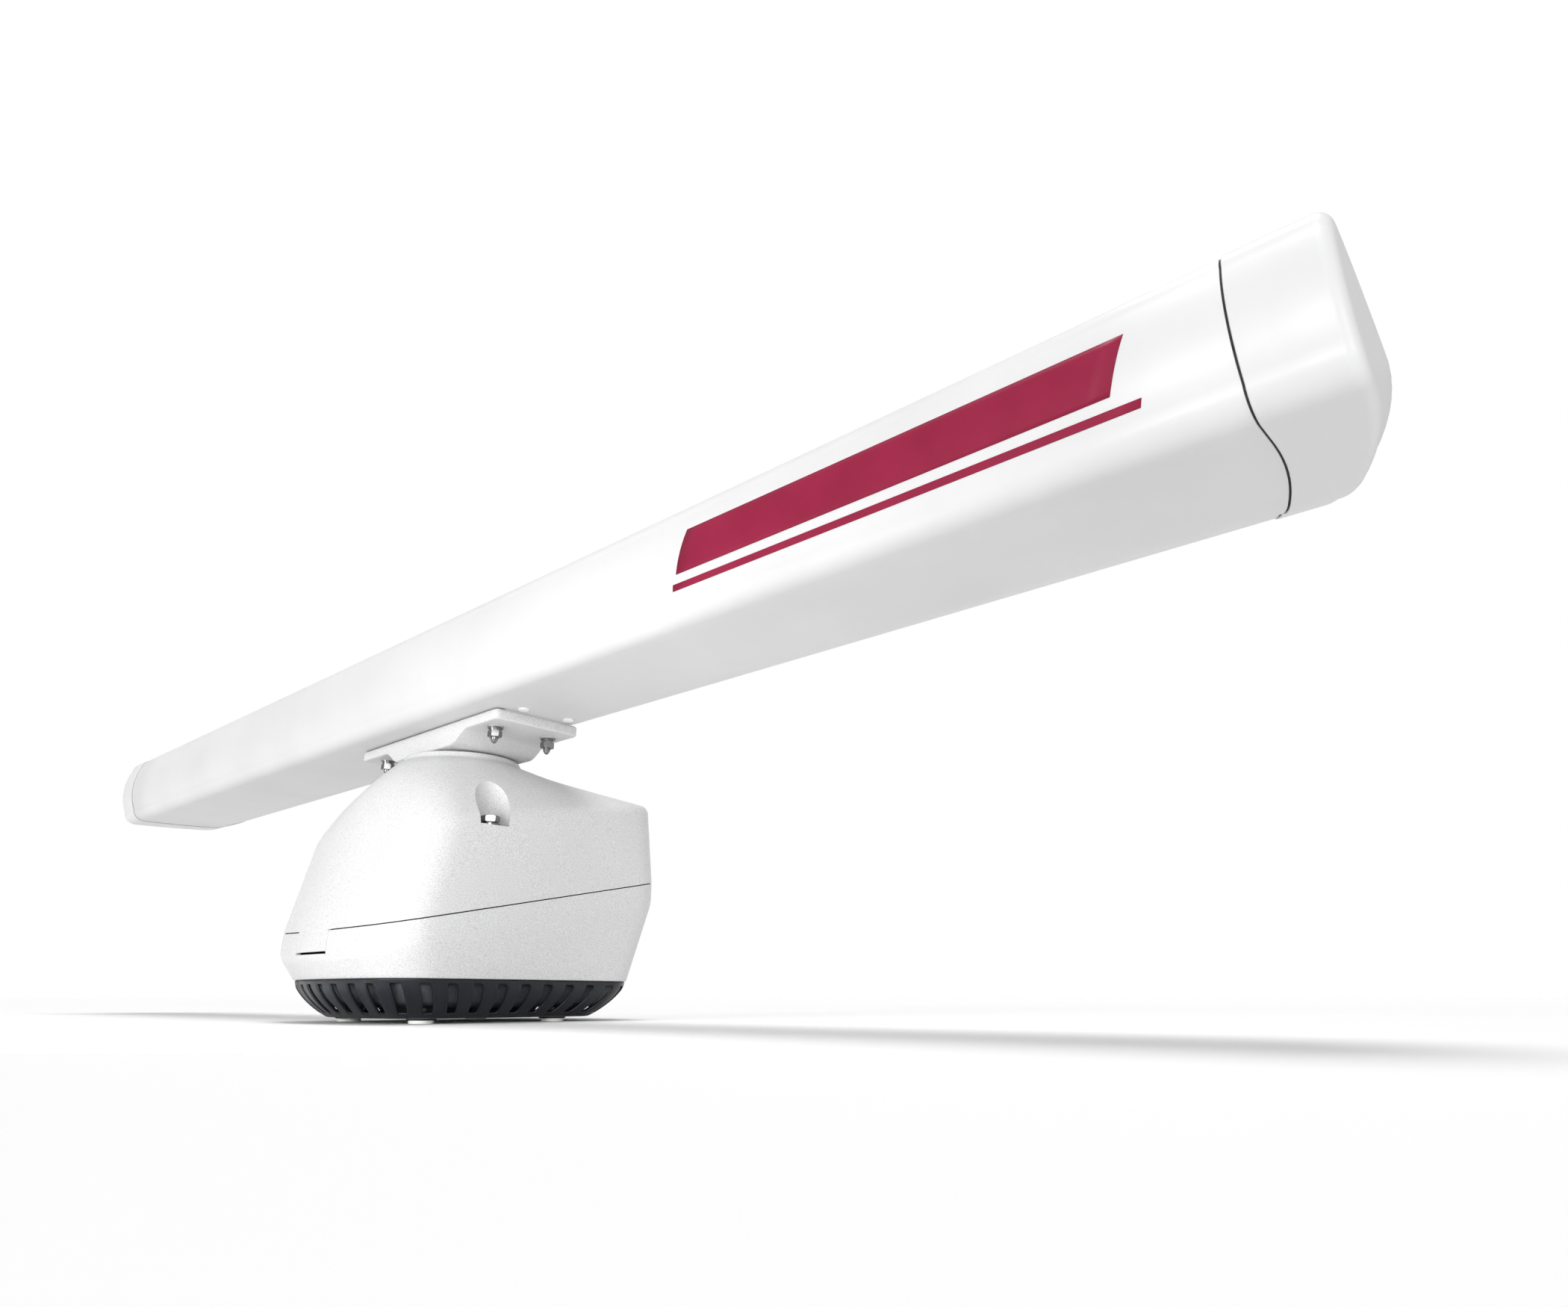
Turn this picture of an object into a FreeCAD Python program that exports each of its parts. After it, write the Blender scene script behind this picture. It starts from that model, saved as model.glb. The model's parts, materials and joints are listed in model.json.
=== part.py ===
# An open array marine radar scanner: a bar antenna that turns on a hinged, two-shell pedestal.
# Origin: where the turning axis meets the deck.  +Z up, +X along the array, its face towards -Y.
import FreeCAD, Part
import Sketcher
import math
import os
import re
from FreeCAD import Vector

doc = FreeCAD.newDocument("open_array_scanner")

# ---------------------------------------------------------------- driving sizes, in millimetres
SIZES = {
    # feet and base
    "foot_spacing_x": 152, "foot_spacing_y": 152, "foot_centre_y": 20,
    "pad_radius": 12, "pad_height": 3, "pad_hole_radius": 6.5, "column_top_radius": 9.5,
    "insert_radius": 6.3, "insert_bore_radius": 4.25, "insert_length": 16,
    "base_bottom": 4.5, "base_top": 41, "base_wall": 3.5, "slot_width": 13, "slot_pitch": 25,
    # pedestal shells, in plan: half widths and ends of each level
    "half_width": 130, "rear_half_width": 124, "front_end": -142, "rear_end": 215,
    "ridge_front_end": -122, "ridge_rear_end": 205,
    "seam_half_width": 122, "seam_rear_half_width": 117, "seam_front_end": -128, "seam_rear_end": 191,
    "bottom_half_width": 98, "bottom_front_end": -94, "bottom_rear_end": 155,
    "shell_wall": 5, "floor_thickness": 6,
    # tilted planes of the pedestal: height on the axis, and rise per millimetre of Y
    "parting_height": 113, "parting_rise": 0.195, "parting_gap": 1.2,
    "ridge_height": 206.5, "ridge_rise": 0.179, "knee_drop": 24,
    # neck, shaft and bearings
    "neck_radius": 64, "neck_top": 279, "neck_plate": 7, "shaft_radius": 25, "shaft_bore_radius": 14,
    "seal_radius": 33, "running_clearance": 0.05, "bearing_outer_radius": 46, "bearing_width": 12,
    "bearing_race": 5, "ball_radius": 4.4, "upper_bearing_low": 257, "lower_bearing_low": 240,
    "bearing_housing_wall": 7,
    # gear train and motor
    "gear_module": 1.5, "gear_teeth": 100, "pinion_teeth": 20, "gear_low": 224, "gear_width": 10,
    "motor_radius": 28, "motor_length": 58, "drive_plate_low": 208, "drive_plate_thickness": 5,
    # captive cover bolts
    "bolt_x": 120, "bolt_y": -30, "pocket_x": 122, "pocket_radius": 18.5, "pocket_floor": 190,
    "bolt_radius": 5, "bolt_head_flats": 17, "swing_clearance": 2.4,
    # hinge at the low end
    "hinge_y": -136, "hinge_height": 80, "pin_radius": 2.5, "knuckle_radius": 4.4,
    "tongue_half_width": 33, "tongue_face": -143.5, "tongue_bottom": 66, "tongue_gap": 1.2,
    "tongue_drop_gap": 2.4,
    # turning bracket
    "bracket_half_length": 147, "bracket_half_width": 52, "bracket_low": 281.5,
    "flange_low": 295.4, "bracket_floor": 9, "bracket_wall": 8, "plateau_half_length": 58,
    "joggle_run": 32, "stud_x": 117, "stud_y": 33, "stud_radius": 4,
    # antenna array
    "array_bottom": 307.8, "array_top": 411, "array_front": -99, "array_back": 96,
    "array_wall": 4, "seam_half_length": 903, "array_half_length": 958, "lap_clearance": 0.3,
    "plug_x": 160, "plug_y": 28, "plug_radius": 6,
}
sheet = doc.addObject("Spreadsheet::Sheet", "Sizes")
for row, (alias, amount) in enumerate(SIZES.items(), start=1):
    sheet.set("A%d" % row, alias)
    sheet.set("B%d" % row, str(amount))
    sheet.setAlias("B%d" % row, alias)
doc.recompute()

nodes = []


def cell(alias):
    """A size, read back from the sheet."""
    return float(sheet.get(alias))


def bound(text):
    """An expression in aliases, with each alias pointed at the sheet."""
    return re.sub(r"[a-z_]{3,}", lambda word: "Sizes." + word.group() if word.group() in SIZES
                  else word.group(), str(text))


def bind(item, **formulas):
    for name, text in formulas.items():
        item.setExpression(name, bound(text))
    return item


def place(item, x="0", y="0", z="0"):
    for axis, text in (("x", x), ("y", y), ("z", z)):
        item.setExpression("Placement.Base." + axis, bound(text))
    return item


def node(item, label):
    """Marks a document object as a sub-part of its own, with its file name as its label."""
    item.Label = label
    nodes.append(item)
    return item


# ---------------------------------------------------------------- small modelling helpers
def origin_plane(body, role):
    return next(f for f in body.Origin.OriginFeatures if f.Role == role)


def sketch_of(body, role, corners=(), circles=(), lift="0"):
    """A sketch on one of the body's own planes: a closed outline and circles, all pinned by
    expressions from the sketch's origin."""
    sketch = body.newObject("Sketcher::SketchObject", "Outline")
    sketch.AttachmentSupport = [(origin_plane(body, role), "")]
    sketch.MapMode = "FlatFace"
    sketch.setExpression("AttachmentOffset.Base.z", bound(lift))
    values = [tuple(evaluate(text) for text in corner) for corner in corners]
    for i, start in enumerate(values):
        end = values[(i + 1) % len(values)]
        sketch.addGeometry(Part.LineSegment(Vector(*start, 0), Vector(*end, 0)), False)
    count = len(values)
    for i in range(count):
        sketch.addConstraint(Sketcher.Constraint("Coincident", i, 2, (i + 1) % count, 1))
    for i, corner in enumerate(corners):
        for kind, text, amount in (("DistanceX", corner[0], values[i][0]),
                                   ("DistanceY", corner[1], values[i][1])):
            index = sketch.addConstraint(Sketcher.Constraint(kind, -1, 1, i, 1, amount))
            sketch.setExpression("Constraints[%d]" % index, bound(text))
    for x, y, radius in circles:
        centre = Vector(evaluate(x), evaluate(y), 0)
        i = sketch.addGeometry(Part.Circle(centre, Vector(0, 0, 1), evaluate(radius)), False)
        for kind, text, amount in (("DistanceX", x, centre.x), ("DistanceY", y, centre.y)):
            index = sketch.addConstraint(Sketcher.Constraint(kind, -1, 1, i, 3, amount))
            sketch.setExpression("Constraints[%d]" % index, bound(text))
        index = sketch.addConstraint(Sketcher.Constraint("Radius", i, evaluate(radius)))
        sketch.setExpression("Constraints[%d]" % index, bound(radius))
    return sketch


def evaluate(text):
    """The number an expression stands for now."""
    return float(sheet.evalExpression(bound(text)))


def turned(name, corners, x="0", y="0", z="0"):
    """A piece turned about its own Z axis from a half section of (radius, height) corners."""
    body = doc.addObject("PartDesign::Body", name)
    sketch = sketch_of(body, "XZ_Plane", corners)
    revolution = body.newObject("PartDesign::Revolution", "Turned")
    revolution.Profile = sketch
    revolution.ReferenceAxis = (sketch, ["V_Axis"])
    revolution.Angle = 360
    return place(body, x, y, z)


def padded(name, corners, low, height, circles=(), role="XY_Plane"):
    """A piece cut from plate: an outline with holes, given its thickness."""
    body = doc.addObject("PartDesign::Body", name)
    sketch = sketch_of(body, role, corners, circles, low)
    pad = body.newObject("PartDesign::Pad", "Plate")
    pad.Profile = sketch
    bind(pad, Length=height)
    return body


def rectangle(half_x, half_y, x="0", y="0"):
    return [("(%s) - (%s)" % (x, half_x), "(%s) - (%s)" % (y, half_y)),
            ("(%s) + (%s)" % (x, half_x), "(%s) - (%s)" % (y, half_y)),
            ("(%s) + (%s)" % (x, half_x), "(%s) + (%s)" % (y, half_y)),
            ("(%s) - (%s)" % (x, half_x), "(%s) + (%s)" % (y, half_y))]


def cylinder(radius, height, x="0", y="0", z="0"):
    item = doc.addObject("Part::Cylinder", "Cylinder")
    return place(bind(item, Radius=radius, Height=height), x, y, z)


def block(length, width, height, x="0", y="0", z="0"):
    """A box centred on x and y, standing on z."""
    item = doc.addObject("Part::Box", "Block")
    bind(item, Length=length, Width=width, Height=height)
    return place(item, "(%s) - (%s) / 2" % (x, length), "(%s) - (%s) / 2" % (y, width), z)


def lying_cylinder(radius, height, x, y, z, along):
    """A cylinder whose axis lies along +X or +Y."""
    item = cylinder(radius, height, x, y, z)
    turn = {"x": (Vector(0, 1, 0), 90), "y": (Vector(1, 0, 0), -90)}[along]
    item.Placement.Rotation = FreeCAD.Rotation(*turn)
    return item


def cut(base, *tools):
    item = doc.addObject("Part::Cut", "Cut")
    item.Base = base
    item.Tool = tools[0] if len(tools) == 1 else fuse(*tools)
    return item


def fuse(*shapes):
    item = doc.addObject("Part::MultiFuse", "Fuse")
    item.Shapes = list(shapes)
    return item


def common(first, second):
    item = doc.addObject("Part::Common", "Common")
    item.Base = first
    item.Tool = second
    return item


def group(*shapes):
    item = doc.addObject("Part::Compound", "Group")
    item.Links = list(shapes)
    return item


def pair(item, axis, centre="0"):
    """The item and its mirror image across the plane at centre on that axis, as one group."""
    image = doc.addObject("Part::Mirroring", "Image")
    image.Source = item
    image.Normal = {"x": Vector(1, 0, 0), "y": Vector(0, 1, 0)}[axis]
    image.setExpression("Base." + axis, bound(centre))
    return group(item, image)


def four(item, centre_y="0"):
    return pair(pair(item, "x"), "y", centre_y)


def shaped(name, shape):
    """A free-form shape made by Part's own functions, kept as an object of the document."""
    item = doc.addObject("Part::Feature", name)
    item.Shape = shape
    return item


# ---------------------------------------------------------------- pedestal: plan outlines
FRONT_BOW = 9          # how far the low end's middle stands out past its corners
REAR_BOW = 7           # the same at the tall end
FRONT_CORNER = 52      # corner radii in plan
REAR_CORNER = 42


def outline(half_width, rear_half_width, front, rear, inset=0.0, corner=1.0):
    """The pedestal's plan at one level, flat on z = 0: bowed ends, round corners, and long sides
    that draw in towards the tall end."""
    wide = half_width - inset
    narrow = rear_half_width - inset
    front = front + inset
    rear = rear - inset
    front_corner = FRONT_CORNER * corner - inset
    rear_corner = REAR_CORNER * corner - inset
    bend = math.sqrt(0.5)
    front_x = wide - front_corner
    front_y = front + FRONT_BOW
    rear_x = narrow - rear_corner
    rear_y = rear - REAR_BOW
    low_y = front_y + front_corner
    high_y = rear_y - rear_corner
    side_mid = Vector(wide - 0.12 * (wide - narrow), (low_y + high_y) / 2, 0)
    right = [
        Part.Arc(Vector(front_x, front_y, 0),
                 Vector(front_x + bend * front_corner, low_y - bend * front_corner, 0),
                 Vector(wide, low_y, 0)),
        Part.Arc(Vector(wide, low_y, 0), side_mid, Vector(narrow, high_y, 0)),
        Part.Arc(Vector(narrow, high_y, 0),
                 Vector(rear_x + bend * rear_corner, high_y + bend * rear_corner, 0),
                 Vector(rear_x, rear_y, 0)),
    ]
    front_arc = Part.Arc(Vector(-front_x, front_y, 0), Vector(0, front, 0), Vector(front_x, front_y, 0))
    rear_arc = Part.Arc(Vector(rear_x, rear_y, 0), Vector(0, rear, 0), Vector(-rear_x, rear_y, 0))
    mirror = FreeCAD.Matrix()
    mirror.A11 = -1
    edges = [front_arc.toShape()] + [arc.toShape() for arc in right] + [rear_arc.toShape()]
    edges += [arc.toShape().transformGeometry(mirror) for arc in reversed(right)]
    return Part.Wire(Part.__sortEdges__(edges))


def tilted(shape, height, rise=0.0):
    """Lifts a flat shape to height and shears it so that it climbs with Y."""
    shear = FreeCAD.Matrix()
    shear.A32 = rise
    shear.A34 = height
    return shape.transformGeometry(shear)


def neck_ring(radius, height):
    """A circle cut into eight arcs that face the eight edges of the pedestal's outline."""
    angles = [-122, -58, -38, 48, 62, 118, 132, 218]
    arcs = []
    for low, high in zip(angles, angles[1:] + [angles[0] + 360]):
        points = [Vector(radius * math.cos(math.radians(a)), radius * math.sin(math.radians(a)), height)
                  for a in (low, (low + high) / 2, high)]
        arcs.append(Part.Arc(*points).toShape())
    return Part.Wire(arcs)


def loft(*wires):
    return Part.makeLoft(list(wires), True, True)


def level(name, inset=0.0):
    """The plan outline of a named level of the pedestal."""
    plans = {
        "ridge": (cell("half_width"), cell("rear_half_width"), cell("ridge_front_end"),
                  cell("ridge_rear_end")),
        "parting": (cell("half_width") + 1, cell("rear_half_width") + 2, cell("front_end"),
                    cell("rear_end")),
        "seam": (cell("seam_half_width"), cell("seam_rear_half_width"), cell("seam_front_end"),
                 cell("seam_rear_end")),
        "bottom": (cell("bottom_half_width"), cell("bottom_half_width") - 6,
                   cell("bottom_front_end"), cell("bottom_rear_end")),
    }
    return outline(*plans[name], inset=inset, corner=0.8 if name == "bottom" else 1.0)


parting = (cell("parting_height"), cell("parting_rise"))
ridge = (cell("ridge_height"), cell("ridge_rise"))
half_gap = cell("parting_gap") / 2
wall = cell("shell_wall")
neck_shoulder = cell("neck_top") - 9


def upper_solid(inset):
    """The hinged cover's envelope, from the parting plane to the neck, drawn in by inset."""
    skirt = loft(tilted(level("parting", inset), parting[0] + half_gap, parting[1]),
                 tilted(level("ridge", inset), ridge[0] - inset, ridge[1]),
                 neck_ring(cell("neck_radius") + 8 - inset, neck_shoulder - inset))
    return skirt


def lower_solid(inset, low):
    """The fixed lower shell's envelope, from the given height up to the parting plane."""
    knee = cell("knee_drop")
    return loft(tilted(level("seam", inset), low),
                tilted(level("parting", inset), parting[0] - knee, parting[1]),
                tilted(level("parting", inset), parting[0] - half_gap, parting[1]))


# ---------------------------------------------------------------- base: grille, pads, inserts
def grille_solid(inset):
    top = cell("base_top") - 0.3
    bottom = cell("base_bottom")
    waist = outline(cell("seam_half_width") - 6, cell("seam_rear_half_width") - 6,
                    cell("seam_front_end") + 8, cell("seam_rear_end") - 8, inset=inset)
    return loft(tilted(level("bottom", inset), bottom + inset),
                tilted(waist, bottom + 0.55 * (top - bottom)),
                tilted(level("seam", inset), top + (0.01 if inset else 0)))


def slots():
    """Round-topped slots that follow the grille's edge at an even pitch."""
    path = level("seam", 8)
    count = int(round(path.Length / cell("slot_pitch")))
    width = cell("slot_width")
    low = cell("base_bottom") + cell("base_wall") + 1.5
    shoulder = cell("base_top") - 7.5 - width / 2
    face = Part.Face(Part.Wire([
        Part.makeLine((-width / 2, -30, low), (width / 2, -30, low)),
        Part.makeLine((width / 2, -30, low), (width / 2, -30, shoulder)),
        Part.Arc(Vector(width / 2, -30, shoulder), Vector(0, -30, shoulder + width / 2),
                 Vector(-width / 2, -30, shoulder)).toShape(),
        Part.makeLine((-width / 2, -30, shoulder), (-width / 2, -30, low))]))
    slot = face.extrude(Vector(0, 60, 0))
    points = path.discretize(Number=count * 8 + 1)
    tools = []
    for i in range(count):
        here = points[8 * i + 4]
        along = points[8 * i + 5] - points[8 * i + 3]
        tool = slot.copy()
        tool.Placement = FreeCAD.Placement(Vector(here.x, here.y, 0),
                                           FreeCAD.Rotation(Vector(1, 0, 0), Vector(along.x, along.y, 0)))
        tools.append(tool)
    return Part.makeCompound(tools)


foot_x = "foot_spacing_x / 2"
foot_y = "foot_centre_y + foot_spacing_y / 2"
bowl = cut(shaped("GrilleOuter", grille_solid(0)), shaped("GrilleInner", grille_solid(cell("base_wall"))),
           shaped("GrilleSlots", slots()))
column = turned("Column", [("insert_radius", "pad_height"), ("pad_radius + 1", "pad_height"),
                           ("pad_radius + 0.5", "pad_height + 5"),
                           ("column_top_radius", "base_top - 1"), ("insert_radius", "base_top - 1")],
                foot_x, foot_y)
foot_holes = four(cylinder("insert_radius", "base_top", foot_x, foot_y), "foot_centre_y")
node(fuse(cut(bowl, foot_holes), four(column, "foot_centre_y")), "base_grille")

pad = turned("Pad", [("pad_hole_radius", "0"), ("pad_radius - 0.6", "0"), ("pad_radius", "0.6"),
                     ("pad_radius", "pad_height"), ("pad_hole_radius", "pad_height")], foot_x, foot_y)
node(four(pad, "foot_centre_y"), "foot_pads")

insert = turned("Insert", [("insert_bore_radius", "pad_height + 0.4"), ("insert_radius", "pad_height + 0.4"),
                           ("insert_radius", "pad_height + insert_length"),
                           ("insert_bore_radius", "pad_height + insert_length")], foot_x, foot_y)
node(four(insert, "foot_centre_y"), "mounting_inserts")

# ---------------------------------------------------------------- lower housing
floor_top = "base_top + floor_thickness"
bolt_boss_radius = "bolt_radius + 8"
BOLT_END = "97"                       # height of the captive bolts' lower ends


lower_outer = shaped("LowerOuter", lower_solid(0, cell("base_top")))
lower_cavity = shaped("LowerCavity", lower_solid(wall, evaluate(floor_top)).fuse(
    tilted(Part.Face(level("parting", wall)).extrude(Vector(0, 0, 12)), parting[0] - half_gap - 6,
           parting[1])))
bolt_column = common(pair(cylinder(bolt_boss_radius, "parting_height", "bolt_x", "bolt_y", "base_top"), "x"),
                     lower_outer)
column_holes = pair(cylinder("bolt_radius + swing_clearance", "parting_height", "bolt_x", "bolt_y",
                             "%s - 4" % BOLT_END), "x")
notch = block("2 * (tongue_half_width + tongue_gap)", "40", "60", "0", "tongue_face + 14",
              "tongue_bottom - tongue_drop_gap")
seal_track = shaped("SealTrack", tilted(
    Part.Face(level("parting", 1.4)).cut(Part.Face(level("parting", 3.6))).extrude(Vector(0, 0, 10)),
    parting[0] - half_gap - 2, parting[1]))
foot_boss = four(cylinder("insert_radius + 3", "floor_thickness + 6", foot_x, foot_y, "base_top"),
                 "foot_centre_y")
switch_x = "-46"
power_x = "40"
network_x = "0"
port_height = "92"
rear_hole_y = "rear_end - 40"
switch_hole = block("27", "80", "17", switch_x, rear_hole_y, port_height + " - 8.5")
ground_hole = lying_cylinder("3.05", "80", "66", "rear_end - 60", port_height, "y")
power_hole = lying_cylinder("11", "80", power_x, "rear_end - 60", port_height, "y")
network_hole = lying_cylinder("11", "80", network_x, "rear_end - 60", port_height, "y")
rear_pad = common(block("150", "34", "40", "0", "rear_end - 23", port_height + " - 20"), lower_outer)
lower_shell = fuse(cut(lower_outer, lower_cavity), bolt_column, foot_boss, rear_pad)
rear_face = block("400", "60", "46", "0", "rear_end + 14", port_height + " - 23")
node(cut(lower_shell, column_holes, notch, seal_track, switch_hole, power_hole, network_hole,
         ground_hole, rear_face),
     "lower_housing")

seal_ring = Part.Face(level("parting", 1.5)).cut(Part.Face(level("parting", 3.5))).extrude(Vector(0, 0, 2.9))
seal_gap = Part.makeBox(2 * evaluate("tongue_half_width + tongue_gap + 1"), 60, 400,
                        Vector(-evaluate("tongue_half_width + tongue_gap + 1"), cell("tongue_face") - 20, 0))
node(shaped("PartingSeal", tilted(seal_ring, parting[0] - half_gap - 1.9, parting[1]).cut(seal_gap)),
     "parting_seal")

# ---------------------------------------------------------------- hinge at the low end
LEAF_HALF = "24"
leaf_y = "seam_front_end + shell_wall + 4"
leaf_plate = block("2 * " + LEAF_HALF, "4", "hinge_height + knuckle_radius - (%s)" % floor_top, "0", leaf_y,
                   floor_top)
leaf_foot = block("2 * " + LEAF_HALF, "18", "3", "0", leaf_y + " + 9", floor_top)
lug = fuse(lying_cylinder("knuckle_radius", "8", "12", "hinge_y", "hinge_height", "x"),
           block("8", "(%s) - hinge_y" % leaf_y, "2 * knuckle_radius", "16", "(hinge_y + (%s)) / 2" % leaf_y,
                 "hinge_height - knuckle_radius"))
pin_bore = lying_cylinder("pin_radius", "80", "-40", "hinge_y", "hinge_height", "x")
node(cut(fuse(leaf_plate, leaf_foot, pair(lug, "x")), pin_bore), "hinge_leaf")
node(lying_cylinder("pin_radius", "2 * (tongue_half_width - 4)", "4 - tongue_half_width", "hinge_y",
                    "hinge_height", "x"), "hinge_pin")


# ---------------------------------------------------------------- hinged cover
upper_outer = shaped("UpperOuter", upper_solid(0))
upper_cavity = shaped("UpperCavity", upper_solid(wall).fuse(
    tilted(Part.Face(level("parting", wall)).extrude(Vector(0, 0, 8)), parting[0] + half_gap - 2,
           parting[1])))
neck = turned("Neck", [("0", "neck_top - 12"), ("neck_radius + 8", "neck_top - 12"),
                       ("neck_radius + 8", "neck_top - 9"), ("neck_radius + 2.5", "neck_top - 6"),
                       ("neck_radius", "neck_top - 2"), ("neck_radius - 1", "neck_top"),
                       ("0", "neck_top")])
neck_floor = cylinder("neck_radius + 4", "neck_plate + 5", "0", "0", "neck_top - neck_plate - 5")
housing_seat = "bearing_outer_radius + bearing_housing_wall + 0.1"
neck_room = fuse(cylinder("seal_radius", "60", "0", "0", "neck_top - 40"),
                 cylinder(housing_seat, "60", "0", "0", "neck_top - neck_plate - 60"))
pocket_wall = common(pair(cylinder("pocket_radius + 4", "90", "pocket_x", "bolt_y", "pocket_floor - 4"), "x"),
                     upper_outer)
pocket = pair(cylinder("pocket_radius", "90", "pocket_x", "bolt_y", "pocket_floor"), "x")
cover_column = common(pair(cylinder(bolt_boss_radius, "pocket_floor - 60", "bolt_x", "bolt_y", "60"), "x"),
                      upper_outer)
bolt_way = pair(cylinder("bolt_radius + 0.5", "pocket_floor", "bolt_x", "bolt_y", "60"), "x")
post_x, post_low_y, post_high_y = "82", "-52", "118"
plate_top = "drive_plate_low + drive_plate_thickness"
posts = common(fuse(pair(cylinder("6", "80", post_x, post_low_y, plate_top), "x"),
                    pair(cylinder("6", "80", post_x, post_high_y, plate_top), "x")), upper_outer)
tongue = block("2 * tongue_half_width", "3", "parting_height - tongue_bottom", "0", "tongue_face + 1.5",
               "tongue_bottom")
ear = fuse(lying_cylinder("knuckle_radius", "8", "21", "hinge_y", "hinge_height", "x"),
           block("8", "knuckle_radius + 1", "24", "25", "tongue_face + 3 + (knuckle_radius + 1) / 2",
                 "hinge_height"))
ear_bore = lying_cylinder("pin_radius + running_clearance", "80", "-40", "hinge_y", "hinge_height", "x")
upper_shell = cut(fuse(upper_outer, neck), upper_cavity)
upper_full = fuse(upper_shell, neck_floor, pocket_wall, cover_column, posts, tongue, pair(ear, "x"))
node(cut(upper_full, neck_room, pocket, bolt_way, ear_bore), "upper_housing")


def hex_prism(name, flats, height, bore="0"):
    """A hexagon prism with chamfered corners, standing on its own origin."""
    corners = [("(%s) / 2 / cos(30 deg) * cos(%d deg)" % (flats, a),
                "(%s) / 2 / cos(30 deg) * sin(%d deg)" % (flats, a)) for a in range(0, 360, 60)]
    prism = padded(name, corners, "0", height)
    rim = "(%s) / 2 / cos(30 deg)" % flats
    envelope = turned(name + "Envelope", [
        (bore, "0"), ("(%s) * 0.95" % rim, "0"), (rim, "0.08 * (%s)" % rim),
        (rim, "(%s) - 0.08 * (%s)" % (height, rim)), ("(%s) * 0.88" % rim, height), (bore, height)])
    return common(prism, envelope)


captive = fuse(hex_prism("BoltHead", "bolt_head_flats", "6.5"),
               cylinder("bolt_radius", "pocket_floor + 4 - %s" % BOLT_END, "0", "0",
                        "%s - pocket_floor - 3.5" % BOLT_END))
captive_at = group(captive)
place(captive_at, "bolt_x", "bolt_y", "pocket_floor + 3.5")
node(pair(captive_at, "x"), "captive_bolts")
cover_washer = turned("CoverWasher", [("bolt_radius + 0.2", "0"), ("bolt_head_flats / 2 + 2", "0"),
                                      ("bolt_head_flats / 2 + 2", "2"), ("bolt_head_flats / 2 + 0.5", "2.1"),
                                      ("bolt_head_flats / 2 - 0.5", "3.4"), ("bolt_radius + 0.2", "3.4")],
                      "bolt_x", "bolt_y", "pocket_floor")
node(pair(cover_washer, "x"), "captive_bolt_washers")

# ---------------------------------------------------------------- bearings, shaft and seal
bearing_low = ("lower_bearing_low", "upper_bearing_low")
inner_race = "shaft_radius + bearing_race"
outer_race = "bearing_outer_radius - bearing_race"


def race(inner, outer, low):
    return turned("Race", [(inner, low), (outer, low), (outer, low + " + bearing_width"),
                           (inner, low + " + bearing_width")])


node(group(*[race(outer_race, "bearing_outer_radius", low) for low in bearing_low]), "bearing_outer_rings")
node(group(*[race("shaft_radius", inner_race, low) for low in bearing_low]), "bearing_inner_rings")
BALLS = 16
ball_pitch = "(%s + %s) / 2" % (inner_race, outer_race)
balls = []
for low in bearing_low:
    for i in range(BALLS):
        ball = doc.addObject("Part::Sphere", "Ball")
        bind(ball, Radius="ball_radius")
        turn = "%s deg" % (360 * i / BALLS)
        balls.append(place(ball, "(%s) * cos(%s)" % (ball_pitch, turn), "(%s) * sin(%s)" % (ball_pitch, turn),
                           low + " + bearing_width / 2"))
node(group(*balls), "bearing_balls")

housing_outer = "bearing_outer_radius + bearing_housing_wall"
node(turned("BearingHousing", [
    ("bearing_outer_radius", "lower_bearing_low"), (housing_outer, "lower_bearing_low"),
    (housing_outer, "neck_top - neck_plate"), ("seal_radius + 1", "neck_top - neck_plate"),
    ("seal_radius + 1", "upper_bearing_low + bearing_width"),
    ("bearing_outer_radius", "upper_bearing_low + bearing_width"),
    ("bearing_outer_radius", "upper_bearing_low"), ("bearing_outer_radius - 3", "upper_bearing_low"),
    ("bearing_outer_radius - 3", "lower_bearing_low + bearing_width"),
    ("bearing_outer_radius", "lower_bearing_low + bearing_width")]), "bearing_housing")
node(turned("LipSeal", [
    ("shaft_radius + running_clearance", "neck_top - 6"), ("shaft_radius + 2.5", "neck_top - neck_plate"),
    ("seal_radius", "neck_top - neck_plate"), ("seal_radius", "neck_top - 0.6"),
    ("shaft_radius + 3", "neck_top - 0.6"), ("shaft_radius + running_clearance", "neck_top - 2.5")]),
    "neck_lip_seal")

shaft_flange = "neck_radius - 18"
node(turned("MainShaft", [
    ("shaft_bore_radius", "gear_low - 4"), ("shaft_radius - 4", "gear_low - 4"),
    ("shaft_radius - 4", "gear_low + gear_width"), ("shaft_radius", "gear_low + gear_width"),
    ("shaft_radius", "bracket_low"), (shaft_flange, "bracket_low"),
    (shaft_flange, "bracket_low + 4"), ("shaft_bore_radius", "bracket_low + 4")]), "main_shaft")


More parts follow.
